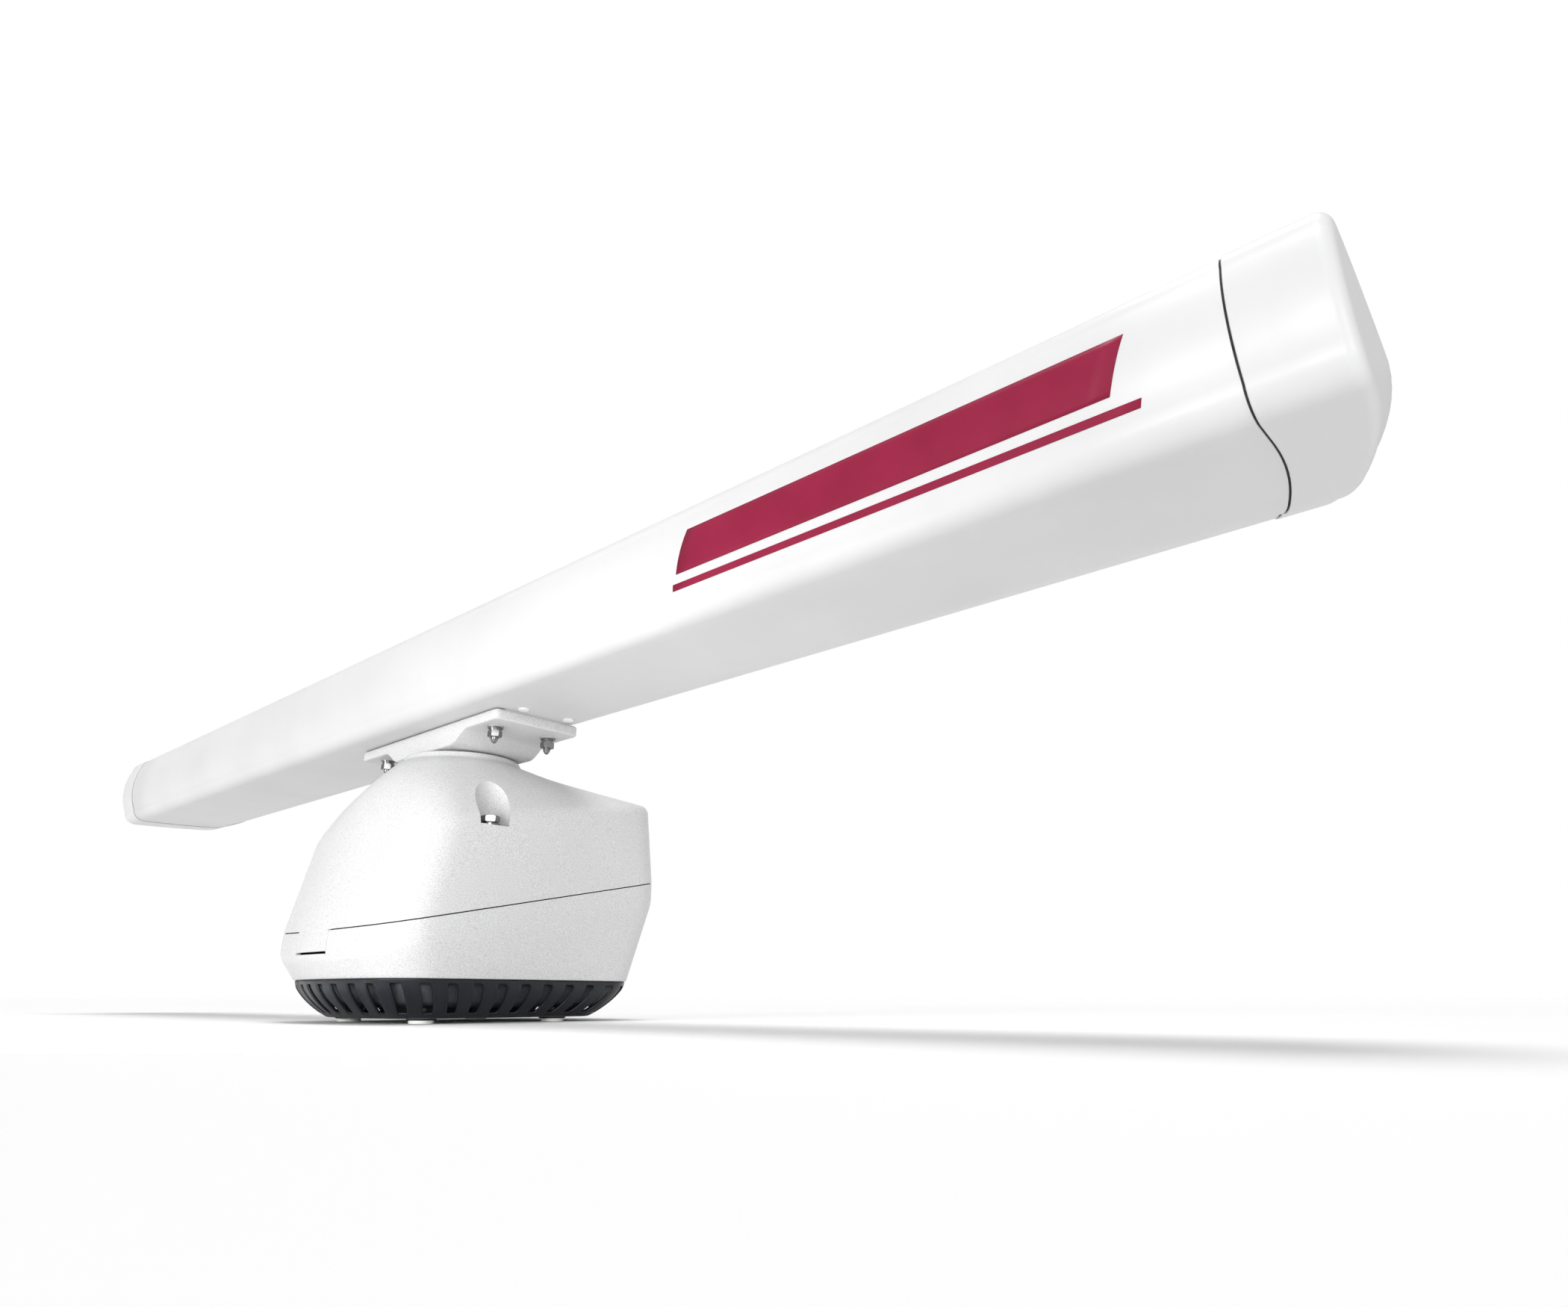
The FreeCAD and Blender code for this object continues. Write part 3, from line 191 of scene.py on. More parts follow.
pale_seal = new_material("pale_silicone_seal")
tone(pale_seal, object_noise(pale_seal, 400, 3), (0.74, 0.74, 0.74), (0.80, 0.80, 0.80))
roughen(pale_seal, object_noise(pale_seal, 900, 2), 0.6, 0.8)

nylon = new_material("white_nylon", Subsurface_Weight=0.05)
tone(nylon, object_noise(nylon, 200, 2), (0.78, 0.77, 0.73), (0.86, 0.85, 0.82))
roughen(nylon, object_noise(nylon, 700, 2), 0.35, 0.5)

acetal = new_material("gear_acetal", Subsurface_Weight=0.05)
tone(acetal, object_noise(acetal, 90, 2), (0.70, 0.68, 0.60), (0.80, 0.78, 0.70))
roughen(acetal, object_noise(acetal, 500, 2), 0.3, 0.45)

foam = new_material("closed_cell_foam")
tone(foam, object_noise(foam, 700, 2), (0.62, 0.58, 0.46), (0.82, 0.79, 0.68))
roughen(foam, object_noise(foam, 400, 2), 0.8, 0.95)
bump(foam, object_noise(foam, 900, 2), 0.4, 0.0008)

board = new_material("circuit_board", Coat_Weight=0.3)
tone(board, object_noise(board, 260, 1), (0.01, 0.10, 0.04), (0.02, 0.16, 0.07), 0.45, 0.55)
roughen(board, object_noise(board, 260, 1), 0.3, 0.5)

# %% [markdown]
# ### Metals
# Turned stainless steel has fine lines round the axis, bright where they face the light. Stretching the
# noise along one axis draws such lines without knowing where each fastener stands.

# %% Metals
def metal(name, dark, light, rough, stretch=(1, 1, 1), scale=900):
    made = new_material(name, Metallic=1.0)
    lines = object_noise(made, scale, 3, stretch)
    tone(made, lines, dark, light)
    roughen(made, lines, *rough)
    bump(made, lines, 0.06, 0.0002)
    return made


stainless = metal("turned_stainless", (0.15, 0.15, 0.155), (0.34, 0.335, 0.33), (0.16, 0.3), (0.4, 0.4, 5))
race_steel = metal("ground_steel", (0.50, 0.50, 0.51), (0.66, 0.66, 0.67), (0.12, 0.2), (0.3, 0.3, 8))
aluminium = metal("milled_aluminium", (0.60, 0.60, 0.61), (0.74, 0.74, 0.75), (0.3, 0.45), (6, 1, 1), 400)
brass = metal("machined_brass", (0.58, 0.42, 0.18), (0.76, 0.58, 0.28), (0.22, 0.36), (1, 1, 6))

# %% [markdown]
# ## Dressing the carried-over pieces
# Each CAD node whose shape is right keeps its mesh and takes the finish of its material slot.

# %% Finishes by slot
FINISHES = {
    "white_gelcoat": gelcoat, "white_casting": casting, "black_plastic": base_plastic,
    "pad_nylon": nylon, "stainless": stainless, "bearing_steel": race_steel,
    "bare_aluminium": aluminium, "black_rubber": rubber, "gear_acetal": acetal, "brass": brass,
    "green_board": board, "dark_case": dark_paint, "foam": foam,
}
for subpart in frame["record"]["subparts"]:
    mesh = frame["nodes"][subpart["node"]].data
    mesh.materials.clear()
    mesh.materials.append(FINISHES[subpart["material_slot"]])
frame["nodes"]["array_gasket"].data.materials[0] = pale_seal     # a light gasket hides between white pieces

# %% [markdown]
# ## Studio
# A white floor that melts into a white surround. One soft light stands overhead, which lays the shadow under
# the bar and the base; low ones from the front and the side keep the bowed face bright and leave undersides a
# clean light grey. A sun lamp with a wide angle is used for each, because it lights the bar's two metres
# evenly, where an area lamp would fade along them. A small box close to the pedestal makes its side fall off
# in tone. The world is drawn brighter than it lights, so that the backdrop is white and shadows still show.

# %% Floor, surround and lights
bm = bmesh.new()
bmesh.ops.create_grid(bm, x_segments=1, y_segments=1, size=30)
floor_mesh = bpy.data.meshes.new("floor")
bm.to_mesh(floor_mesh)
bm.free()
floor = bpy.data.objects.new("floor", floor_mesh)
bpy.context.scene.collection.objects.link(floor)
floor_paint = new_material("pale_floor", Base_Color=(0.93, 0.93, 0.93, 1), Roughness=0.9)
floor_mesh.materials.append(floor_paint)

SURROUND_FILL, SURROUND_SEEN = 0.5, 1.0      # its strength as light, and as backdrop
world = bpy.data.worlds.new("surround")
world.use_nodes = True
world.node_tree.nodes["Background"].inputs["Color"].default_value = (1, 1, 1, 1)
seen = world.node_tree.nodes.new("ShaderNodeLightPath")
strength = world.node_tree.nodes.new("ShaderNodeMapRange")
strength.inputs["To Min"].default_value = SURROUND_FILL
strength.inputs["To Max"].default_value = SURROUND_SEEN
world.node_tree.links.new(seen.outputs["Is Camera Ray"], strength.inputs["Value"])
world.node_tree.links.new(strength.outputs["Result"], world.node_tree.nodes["Background"].inputs["Strength"])
bpy.context.scene.world = world
bpy.context.scene.view_settings.view_transform = "Standard"


def soft_light(name, towards, spread, power):
    """A broad light from far away: towards is the direction it comes from, spread its width in degrees."""
    data = bpy.data.lights.new(name, "SUN")
    data.angle = math.radians(spread)
    data.energy = power
    lamp = bpy.data.objects.new(name, data)
    lamp.rotation_euler = Vector(towards).to_track_quat("Z", "Y").to_euler()
    bpy.context.scene.collection.objects.link(lamp)


SOFT_LIGHTS = {                    # where each comes from, its width in degrees, its strength
    "overhead": ((0.05, 0, 1), 26, 1.45), "front": ((0.05, -1, 0.02), 30, 2.6),
    "side": ((0.85, -0.5, 0.03), 30, 1.35), "behind": ((-0.5, 0.85, 0.3), 50, 0.3),
}
for light_name, (towards, spread, power) in SOFT_LIGHTS.items():
    soft_light(light_name, towards, spread, power)

NEAR_BOX_PLACE, NEAR_BOX_AIM = Vector((0.42, -0.46, 0.07)), Vector((0.1, -0.05, 0.09))
near_box = bpy.data.lights.new("near_box", "AREA")
near_box.size, near_box.energy = 0.2, 0.9
near_lamp = bpy.data.objects.new("near_box", near_box)
near_lamp.location = NEAR_BOX_PLACE
near_lamp.rotation_euler = (NEAR_BOX_PLACE - NEAR_BOX_AIM).to_track_quat("Z", "Y").to_euler()
near_lamp.visible_camera = False
bpy.context.scene.collection.objects.link(near_lamp)
print("lights:", len(SOFT_LIGHTS) + 1)

# %% [markdown]
# ## Tools of the trade
# The big mouldings are swept shapes: a closed ring of vertices, extruded again and again, with each new ring
# moved to the next outline. Where two lofts meet, or a pocket is milled out, solids are cut with the Boolean
# modifier, which is then applied, so that every piece ends as one plain mesh.

# %% Rings and pieces
def to_metres(points):
    return [Vector(point) * MM for point in points]


def first_ring(bm, points):
    """A circle from the operator, with each vertex moved to its place on the outline."""
    ring = bmesh.ops.create_circle(bm, segments=len(points), radius=1)["verts"]
    for vert, point in zip(ring, points):
        vert.co = point
    return ring


def next_ring(bm, ring, points):
    """Extrudes a closed ring once and moves the new vertices to the given places."""
    edges = [bm.edges.get(ends) for ends in zip(ring, ring[1:] + ring[:1])]
    made = bmesh.ops.extrude_edge_only(bm, edges=edges)["geom"]
    fresh = {item for item in made if isinstance(item, bmesh.types.BMVert)}
    new_ring = [next(edge.other_vert(vert) for edge in vert.link_edges if edge.other_vert(vert) in fresh)
                for vert in ring]
    for vert, point in zip(new_ring, points):
        vert.co = point
    return new_ring


def stack(bm, rings, close=True):
    """Joins rings of points into one tube, with a lid on each end if close."""
    ring = first_ring(bm, rings[0])
    made = [ring]
    for points in rings[1:]:
        ring = next_ring(bm, ring, points)
        made.append(ring)
    if close:
        bm.faces.new(made[0])
        bm.faces.new(made[-1])
    bmesh.ops.recalc_face_normals(bm, faces=bm.faces)
    return made


def ring_edges(bm, ring):
    return [bm.edges.get(ends) for ends in zip(ring, ring[1:] + ring[:1])]


def soften(bm, edges, width, segments=6):
    """The bevel operator with the settings it needs in code, width in millimetres."""
    return bmesh.ops.bevel(bm, geom=edges, offset=width * MM, segments=segments, profile=0.5,
                           affect="EDGES", material=-1, clamp_overlap=True)


def solid(name, bm):
    mesh = bpy.data.meshes.new(name)
    bm.to_mesh(mesh)
    bm.free()
    made = bpy.data.objects.new(name, mesh)
    bpy.context.scene.collection.objects.link(made)
    return made


def carve(target, tools, operation="DIFFERENCE"):
    """Applies one Boolean per tool to the target's mesh, and clears the tools away."""
    for tool in tools:
        modifier = target.modifiers.new("carve", "BOOLEAN")
        modifier.operation = operation
        modifier.solver = "EXACT"
        modifier.object = tool
        made = bpy.data.meshes.new_from_object(target.evaluated_get(bpy.context.evaluated_depsgraph_get()))
        target.modifiers.clear()
        target.data = made
        bpy.data.objects.remove(tool)
    return target


def rod(radius, low, high, x=0.0, y=0.0, segments=48):
    """A closed upright rod, as a tool, in millimetres."""
    bm = bmesh.new()
    bmesh.ops.create_cone(bm, cap_ends=True, segments=segments, radius1=radius * MM,
                          radius2=radius * MM, depth=(high - low) * MM)
    bmesh.ops.translate(bm, verts=bm.verts, vec=Vector((x, y, (low + high) / 2)) * MM)
    return solid("tool", bm)


def brick(low, high):
    """A box tool between two corners, in millimetres."""
    bm = bmesh.new()
    bmesh.ops.create_cube(bm, size=1)
    for vert in bm.verts:
        vert.co = Vector([(low[i] + high[i]) / 2 + vert.co[i] * (high[i] - low[i]) for i in range(3)]) * MM
    return solid("tool", bm)


def lying_rod(radius, start, end, x, z, segments=48):
    """A rod tool along Y, in millimetres."""
    bm = bmesh.new()
    bmesh.ops.create_cone(bm, cap_ends=True, segments=segments, radius1=radius * MM, radius2=radius * MM,
                          depth=(end - start) * MM)
    bmesh.ops.rotate(bm, verts=bm.verts, matrix=Matrix.Rotation(math.pi / 2, 3, "X"))
    bmesh.ops.translate(bm, verts=bm.verts, vec=Vector((x, (start + end) / 2, z)) * MM)
    return solid("tool", bm)


def finished(made, name, finish, body, replaced=(), angle=32):
    """Names a piece, dresses it and hangs it on its body; edges sharper than angle stay crisp."""
    made.name = name
    made.data.name = name
    made.data.materials.clear()
    made.data.materials.append(finish)
    made.data.polygons.foreach_set("use_smooth", [True] * len(made.data.polygons))
    made.data.set_sharp_from_angle(angle=math.radians(angle))
    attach(made, body)
    if replaced:
        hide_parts(*replaced)
    print(name, len(made.data.polygons), "faces")
    return made


def arc(start, middle, end, count):
    """count points from start, stopping short of end, on the circle through three flat points."""
    (ax, ay), (bx, by), (cx, cy) = start, middle, end
    d = 2 * (ax * (by - cy) + bx * (cy - ay) + cx * (ay - by))
    ux = ((ax * ax + ay * ay) * (by - cy) + (bx * bx + by * by) * (cy - ay)
          + (cx * cx + cy * cy) * (ay - by)) / d
    uy = ((ax * ax + ay * ay) * (cx - bx) + (bx * bx + by * by) * (ax - cx)
          + (cx * cx + cy * cy) * (bx - ax)) / d
    first, second, last = (math.atan2(y - uy, x - ux) for x, y in (start, middle, end))
    turn = math.tau if (second - first) % math.tau < (last - first) % math.tau else -math.tau
    sweep = (last - first) % turn
    radius = math.hypot(ax - ux, ay - uy)
    angles = [first + sweep * i / count for i in range(count)]
    return [(ux + radius * math.cos(angle), uy + radius * math.sin(angle)) for angle in angles]


def line(start, end, count):
    return [tuple(a + (b - a) * i / count for a, b in zip(start, end)) for i in range(count)]


# %% [markdown]
# ## The bar
# The bar is one long moulding: a bowed face leans over the bow, the underside is flat, and the back is round.
# It could be a subdivided box, but a section swept along X keeps the face perfectly straight over its two
# metres, which is how a long highlight stays clean. Its end caps are drawn over it and curve away behind.

# %% Section of the bar
FRONT, BACK, LOW, HIGH = -99.0, 96.0, 307.8, 411.0     # the bar's extents on the section
CORNER = 14.0


def bar_section():
    middle = (LOW + HIGH) / 2
    toe, toe_end = (FRONT + 12 + CORNER, LOW), (FRONT + 9, LOW + 1.2 * CORNER)
    brow, brow_end = (FRONT + 6, HIGH - CORNER), (FRONT + 9 + CORNER, HIGH)
    crown, rump = (BACK - 44, HIGH - 1), (BACK, middle + 6)
    heel, heel_start = (BACK - 40, LOW + 7.5), (BACK - 64, LOW)
    return (arc(toe, (FRONT + 12 + 0.25 * CORNER, LOW + 0.32 * CORNER), toe_end, 10)
            + arc(toe_end, (FRONT, middle + 4), brow, 18)
            + arc(brow, (FRONT + 6 + 0.36 * CORNER, HIGH - 0.27 * CORNER), brow_end, 10)
            + line(brow_end, crown, 10) + arc(crown, (BACK - 10, HIGH - 20), rump, 12)
            + arc(rump, (BACK - 9, LOW + 26), heel, 12)
            + arc(heel, (BACK - 52, LOW + 2), heel_start, 6) + line(heel_start, toe, 12))


SECTION = bar_section()
print("section points:", len(SECTION))


def section_normals():
    """Outward direction at each point of the section."""
    made = []
    for i, here in enumerate(SECTION):
        before, after = SECTION[i - 1], SECTION[(i + 1) % len(SECTION)]
        across = Vector((after[1] - before[1], before[0] - after[0])).normalized()
        middle = Vector((here[0], here[1] - (LOW + HIGH) / 2))
        made.append(across if across.dot(middle) > 0 else -across)
    return made


NORMALS = section_normals()


def seam_x(y):
    """Where the cap's lip crosses the bar: square at the front, drawn back behind."""
    return 903 - 0.0022 * max(0.0, y + 50) ** 2


def bar_ring(x_of, proud=0.0, side=1):
    """The section as a ring: x_of gives each point's place along the bar."""
    return to_metres([(side * x_of(y), y + n.x * proud, z + n.y * proud)
                      for (y, z), n in zip(SECTION, NORMALS)])


# %% The bar's skin
GROOVE = 1.3                       # dark gap between the skin and each cap
bm = bmesh.new()
rings = [bar_ring(lambda y: -(seam_x(y) - GROOVE))]
for x in (-820, -600, -400, -200, 0, 200, 400, 600, 820):
    rings.append(bar_ring(lambda y, x=x: x))
rings.append(bar_ring(lambda y: seam_x(y) - GROOVE))
tube = stack(bm, rings)
soften(bm, ring_edges(bm, tube[0]) + ring_edges(bm, tube[-1]), 0.5, 2)
finished(solid("bar_skin", bm), "bar_skin", gelcoat, "scanner", ["array_shell"])

# %% [markdown]
# ### End caps
# A cap is a bath: its side stands a millimetre proud of the bar, its mouth edge is turned in, and its end is
# a shallow dome inside a round rim. The rim is a quarter circle, so it catches a bright line all round.

# %% End caps
CAP_PROUD = 0.95
RIM = 8.5
DOME_TOP = 957.8
CENTRE = (-8.0, 357.0)


def end_x(y):
    return 956.8 - 0.0023 * max(0.0, y + 75) ** 2


def rim_ring(side, angle):
    """A ring on the rim's quarter circle: angle 0 is on the cap's side, 90 degrees on its end."""
    points = []
    for (y, z), n in zip(SECTION, NORMALS):
        back = RIM * (1 - math.cos(angle))
        points.append((side * (end_x(y) - RIM + RIM * math.sin(angle)), y + n.x * (CAP_PROUD - back),
                       z + n.y * (CAP_PROUD - back)))
    return to_metres(points)


def dome_ring(side, share):
    """A ring on the dome: share 1 is at the rim, 0 at the top."""
    points = []
    for (y, z), n in zip(SECTION, NORMALS):
        edge = Vector((y + n.x * (CAP_PROUD - RIM), z + n.y * (CAP_PROUD - RIM)))
        here = Vector(CENTRE) + (edge - Vector(CENTRE)) * share
        rise = (DOME_TOP - end_x(y)) * (1 - share ** 2)
        points.append((side * (end_x(y) + rise), here.x, here.y))
    return to_metres(points)


for side, cap_name in ((1, "end_cap_right"), (-1, "end_cap_left")):
    bm = bmesh.new()
    rings = [bar_ring(lambda y: seam_x(y) + 6, -2.5, side), bar_ring(lambda y: seam_x(y) + 0.25, -0.6, side),
             bar_ring(seam_x, CAP_PROUD - 0.6, side), bar_ring(lambda y: seam_x(y) + 0.5, CAP_PROUD, side),
             bar_ring(lambda y: (seam_x(y) + end_x(y)) / 2, CAP_PROUD, side)]
    rings += [rim_ring(side, math.radians(step)) for step in range(0, 91, 15)]
    rings += [dome_ring(side, share) for share in (0.92, 0.84, 0.74, 0.62, 0.5, 0.38, 0.26, 0.14, 0.05)]
    stack(bm, rings)
    finished(solid(cap_name, bm), cap_name + "_moulding", gelcoat, "scanner", [cap_name])

# %% The seal between bar and cap
for side, seal_name in ((1, "cap_seal_right"), (-1, "cap_seal_left")):
    bm = bmesh.new()
    rings = [bar_ring(lambda y, x=x: seam_x(y) + x, -depth, side)
             for x, depth in ((-3.0, 1.6), (-3.0, 0.7), (4.0, 0.7), (4.0, 1.6))]
    stack(bm, rings, close=False)
    finished(solid(seal_name, bm), seal_name, rubber, "scanner")

# %% [markdown]
# ## The pedestal's shells
# Both shells are castings drawn between plan outlines: a bowed front, long sides that draw in towards the
# tall end, and round corners. A loft between outlines gives the body, the bevel operator rounds the ridge
# where wall turns into roof, and the inside is the same loft made smaller. Modelling the wall as two solids,
# one cut from the other, leaves room for the bosses that show when the cover swings open.

# %% Plan outlines
FRONT_BOW, REAR_BOW = 9.0, 7.0
FRONT_CORNER, REAR_CORNER = 52.0, 42.0
STEPS = 12                         # points along each of the outline's eight edges
LEVELS = {                         # half width, rear half width, front end, rear end, corner share
    "ridge": (130, 124, -122, 205, 1.0), "parting": (131, 126, -142, 215, 1.0),
    "seam": (122, 117, -128, 191, 1.0), "waist": (114, 109, -119, 182, 1.0),
    "bottom": (98, 92, -94, 155, 0.8),
}
PARTING, RIDGE = (113.0, 0.195), (206.5, 0.179)        # height on the axis, and rise per millimetre of Y
HALF_GAP = 0.6
NECK_RADIUS, NECK_TOP = 64.0, 279.0


def outline(wide, narrow, front, rear, corner, inset=0.0):
    """The pedestal's plan at one level, as points on a plane."""
    wide, narrow, front, rear = wide - inset, narrow - inset, front + inset, rear - inset
    front_corner, rear_corner = FRONT_CORNER * corner - inset, REAR_CORNER * corner - inset
    bend = math.sqrt(0.5)
    front_x, front_y = wide - front_corner, front + FRONT_BOW
    rear_x, rear_y = narrow - rear_corner, rear - REAR_BOW
    low_y, high_y = front_y + front_corner, rear_y - rear_corner
    side = (wide - 0.12 * (wide - narrow), (low_y + high_y) / 2)
    front_bend = (front_x + bend * front_corner, low_y - bend * front_corner)
    rear_bend = (rear_x + bend * rear_corner, high_y + bend * rear_corner)

    def left(point):
        return (-point[0], point[1])

    edges = [((-front_x, front_y), (0, front), (front_x, front_y)),
             ((front_x, front_y), front_bend, (wide, low_y)), ((wide, low_y), side, (narrow, high_y)),
             ((narrow, high_y), rear_bend, (rear_x, rear_y)),
             ((rear_x, rear_y), (0, rear), (-rear_x, rear_y)),
             ((-rear_x, rear_y), left(rear_bend), (-narrow, high_y)),
             ((-narrow, high_y), left(side), (-wide, low_y)),
             ((-wide, low_y), left(front_bend), (-front_x, front_y))]
    return [point for edge in edges for point in arc(*edge, STEPS)]


def level_ring(name, height, rise=0.0, inset=0.0):
    """An outline lifted to a height and tilted with the pedestal's slope."""
    return [Vector((x, y, height + rise * y)) for x, y in outline(*LEVELS[name], inset)]


NECK_ANGLES = [-122, -58, -38, 48, 62, 118, 132, 218, 238]     # where the outline's edges meet the neck


def neck_ring(radius, height):
    return [Vector((radius * math.cos(math.radians(a)), radius * math.sin(math.radians(a)), height))
            for low, high in zip(NECK_ANGLES, NECK_ANGLES[1:])
            for a in [low + (high - low) * i / STEPS for i in range(STEPS)]]


def between(ring_a, ring_b, share, swell=0.0):
    """A ring part of the way from one to another; swell pushes the low end's middle out, in millimetres."""
    made = []
    for a, b in zip(ring_a, ring_b):
        here = a.lerp(b, share)
        out = Vector((here.x, here.y, 0)).normalized() + Vector((0, 0, 0.6))
        front = min(1.0, max(0.0, (90 - here.y) / 120))
        made.append(here + out * swell * front * math.sin(math.pi * share))
    return made


# %% [markdown]
# ### The hinged cover
# The roof swells a little between ridge and neck at the low end, as a casting does that has to shed spray.
# Two pockets let a spanner reach the captive bolts.

# %% Cover
def cover_solid(inset=0.0, ridge_round=7.0, foot=0.0):
    """The cover's loft from the parting plane to the neck's shoulder, drawn in by inset."""
    bm = bmesh.new()
    low = level_ring("parting", PARTING[0] + HALF_GAP - foot, PARTING[1], inset)
    ridge = level_ring("ridge", RIDGE[0] - inset, RIDGE[1], inset)
    shoulder = neck_ring(NECK_RADIUS + 7 - inset, NECK_TOP - 8.5 - inset)
    rings = [low, ridge] + [between(ridge, shoulder, i / 8, 6.0) for i in range(1, 8)] + [shoulder]
    if not inset:
        rings += [neck_ring(NECK_RADIUS + r, NECK_TOP - z)
                  for r, z in ((3.6, 7.4), (1.6, 5.6), (0.5, 3.4), (0.1, 1.2), (-0.3, 0.5), (-1, 0))]
    made = stack(bm, [[point * MM for point in ring] for ring in rings])
    soften(bm, ring_edges(bm, made[1]), ridge_round, 7)
    return solid("tool", bm)


BOLT_X, BOLT_Y, POCKET_X, POCKET_FLOOR, POCKET_RADIUS = 120.0, -30.0, 122.0, 190.0, 18.5
HINGE_Y, HINGE_Z = -136.0, 80.0
TONGUE_HALF, TONGUE_BOTTOM = 33.0, 66.0

cover = cover_solid()
cavity = cover_solid(inset=5.0, ridge_round=8.0, foot=3.0)
for side in (-1, 1):
    carve(cavity, [rod(POCKET_RADIUS + 4, POCKET_FLOOR - 4, 300, side * POCKET_X, BOLT_Y),
                   rod(13, 60, 188, side * BOLT_X, BOLT_Y),
                   rod(6, 213, 293, side * 82, -52), rod(6, 213, 293, side * 82, 118)])
carve(cavity, [rod(68, 267, 300)])
carve(cover, [cavity])
carve(cover, [rod(53.1, 200, 272), rod(33, 239, 300)])
for side in (-1, 1):
    carve(cover, [rod(POCKET_RADIUS, POCKET_FLOOR, 300, side * POCKET_X, BOLT_Y),
                  rod(5.5, 60, 200, side * BOLT_X, BOLT_Y)])
finished(cover, "cover_casting", casting, "cover", ["upper_housing"], angle=38)

# %% [markdown]
# ### The fixed lower shell
# Below the parting line the wall leans in: first gently, over the knee, then down to the vented base.

# %% Lower shell
BASE_TOP = 41.0
FOOT_X, FOOT_Y = 76, (-56, 96)
KNEE_DROP = 24.0
REAR_FACE = 199.0
PORTS = ((40, 11), (0, 11), (66, 3.05))                # power and network sockets, ground stud: X and radius


def lower_solid(low, inset=0.0, knee_round=16.0, over=0.0):
    bm = bmesh.new()
    foot = level_ring("seam", low, 0, inset)
    knee = level_ring("parting", PARTING[0] - KNEE_DROP, PARTING[1], inset)
    top = level_ring("parting", PARTING[0] - HALF_GAP + over, PARTING[1], inset)
    rings = [foot] + [between(foot, knee, i / 4) for i in range(1, 4)] + [knee, top]
    made = stack(bm, [[point * MM for point in ring] for ring in rings])
    soften(bm, ring_edges(bm, made[4]), knee_round, 7)
    if not inset:
        rim = [edge for edge in bm.edges if all(abs(v.co.z - low * MM) < 1e-6 for v in edge.verts)]
        soften(bm, rim, 1.2, 3)
    return solid("tool", bm)


lower_shell = lower_solid(BASE_TOP)
room = lower_solid(BASE_TOP + 6, inset=5.0, knee_round=12.0, over=3.0)
for side in (-1, 1):
    carve(room, [rod(13, 40, 140, side * BOLT_X, BOLT_Y)])
    for foot_y in FOOT_Y:
        carve(room, [rod(9.3, 40, 53, side * FOOT_X, foot_y)])
carve(room, [brick((-75, REAR_FACE - 24, 72), (75, REAR_FACE + 10, 112))])
carve(lower_shell, [room])
notch = brick((-TONGUE_HALF - 0.5, -153, TONGUE_BOTTOM - 2.4), (TONGUE_HALF + 0.5, -113, 130))
carve(lower_shell, [notch, brick((-200, REAR_FACE, 69), (200, 260, 115)),
                    brick((-59.5, REAR_FACE - 64, 83.5), (-32.5, REAR_FACE + 16, 100.5))])
for port_x, port_radius in PORTS:
    carve(lower_shell, [lying_rod(port_radius, REAR_FACE - 44, REAR_FACE + 36, port_x, 92)])
for side in (-1, 1):
    carve(lower_shell, [rod(7.4, 93, 174, side * BOLT_X, BOLT_Y)])
finished(lower_shell, "lower_casting", casting, "pedestal", ["lower_housing"], angle=38)

# %% [markdown]
# ### The hinge tongue
# The cover turns on a pin low down at the front, behind a tongue that hangs over the parting line. The tongue
# is flush with the lower shell, so it is cut from that shell's own loft: only the gap under it shows.

# %% Tongue and knuckles
tongue = lower_solid(BASE_TOP, over=2.5)
carve(tongue, [brick((-TONGUE_HALF, -156, TONGUE_BOTTOM), (TONGUE_HALF, -137.5, 118))], "INTERSECT")
finished(tongue, "hinge_tongue", casting, "cover")
for side, side_name in ((1, "right"), (-1, "left")):
    bm = bmesh.new()
    bmesh.ops.create_cone(bm, cap_ends=True, segments=32, radius1=4.4 * MM, radius2=4.4 * MM, depth=8 * MM)
    bmesh.ops.rotate(bm, verts=bm.verts, matrix=Matrix.Rotation(math.pi / 2, 3, "Y"))
    bmesh.ops.translate(bm, verts=bm.verts, vec=Vector((side * 25, HINGE_Y, HINGE_Z)) * MM)
    soften(bm, [edge for edge in bm.edges if edge.calc_face_angle(0) > 1], 0.5, 2)
    finished(solid("knuckle", bm), "hinge_knuckle_" + side_name, casting, "cover")

# %% [markdown]
# ## The vented base
# The base is a bowl of satin dark plastic with tall windows between ribs. A Boolean could cut the windows,
# but its edges would stay knife sharp. Here the bowl is a net of quads instead: the faces of each window are
# deleted, the Solidify modifier gives the wall, and Subdivision Surface rounds every edge at once, as the
# mould does.

# %% Even rings
def even(points, count):
    """A closed outline sampled again at even steps."""
    spans = [(b - a).length for a, b in zip(points, points[1:] + points[:1])]
    total, made, at, walked = sum(spans), [], 0, 0.0
    for i in range(count):
        goal = total * i / count
        while walked + spans[at] < goal:
            walked += spans[at]
            at += 1
        made.append(points[at].lerp(points[(at + 1) % len(points)], (goal - walked) / spans[at]))
    return made


WINDOWS, ACROSS = 36, 8            # windows round the bowl, and columns of quads from one to the next
OPEN_COLUMNS = (2, 3, 4)           # the columns that are window
BOWL_TOP, BOWL_LOW, BOWL_WALL = 40.6, 4.5, 3.0


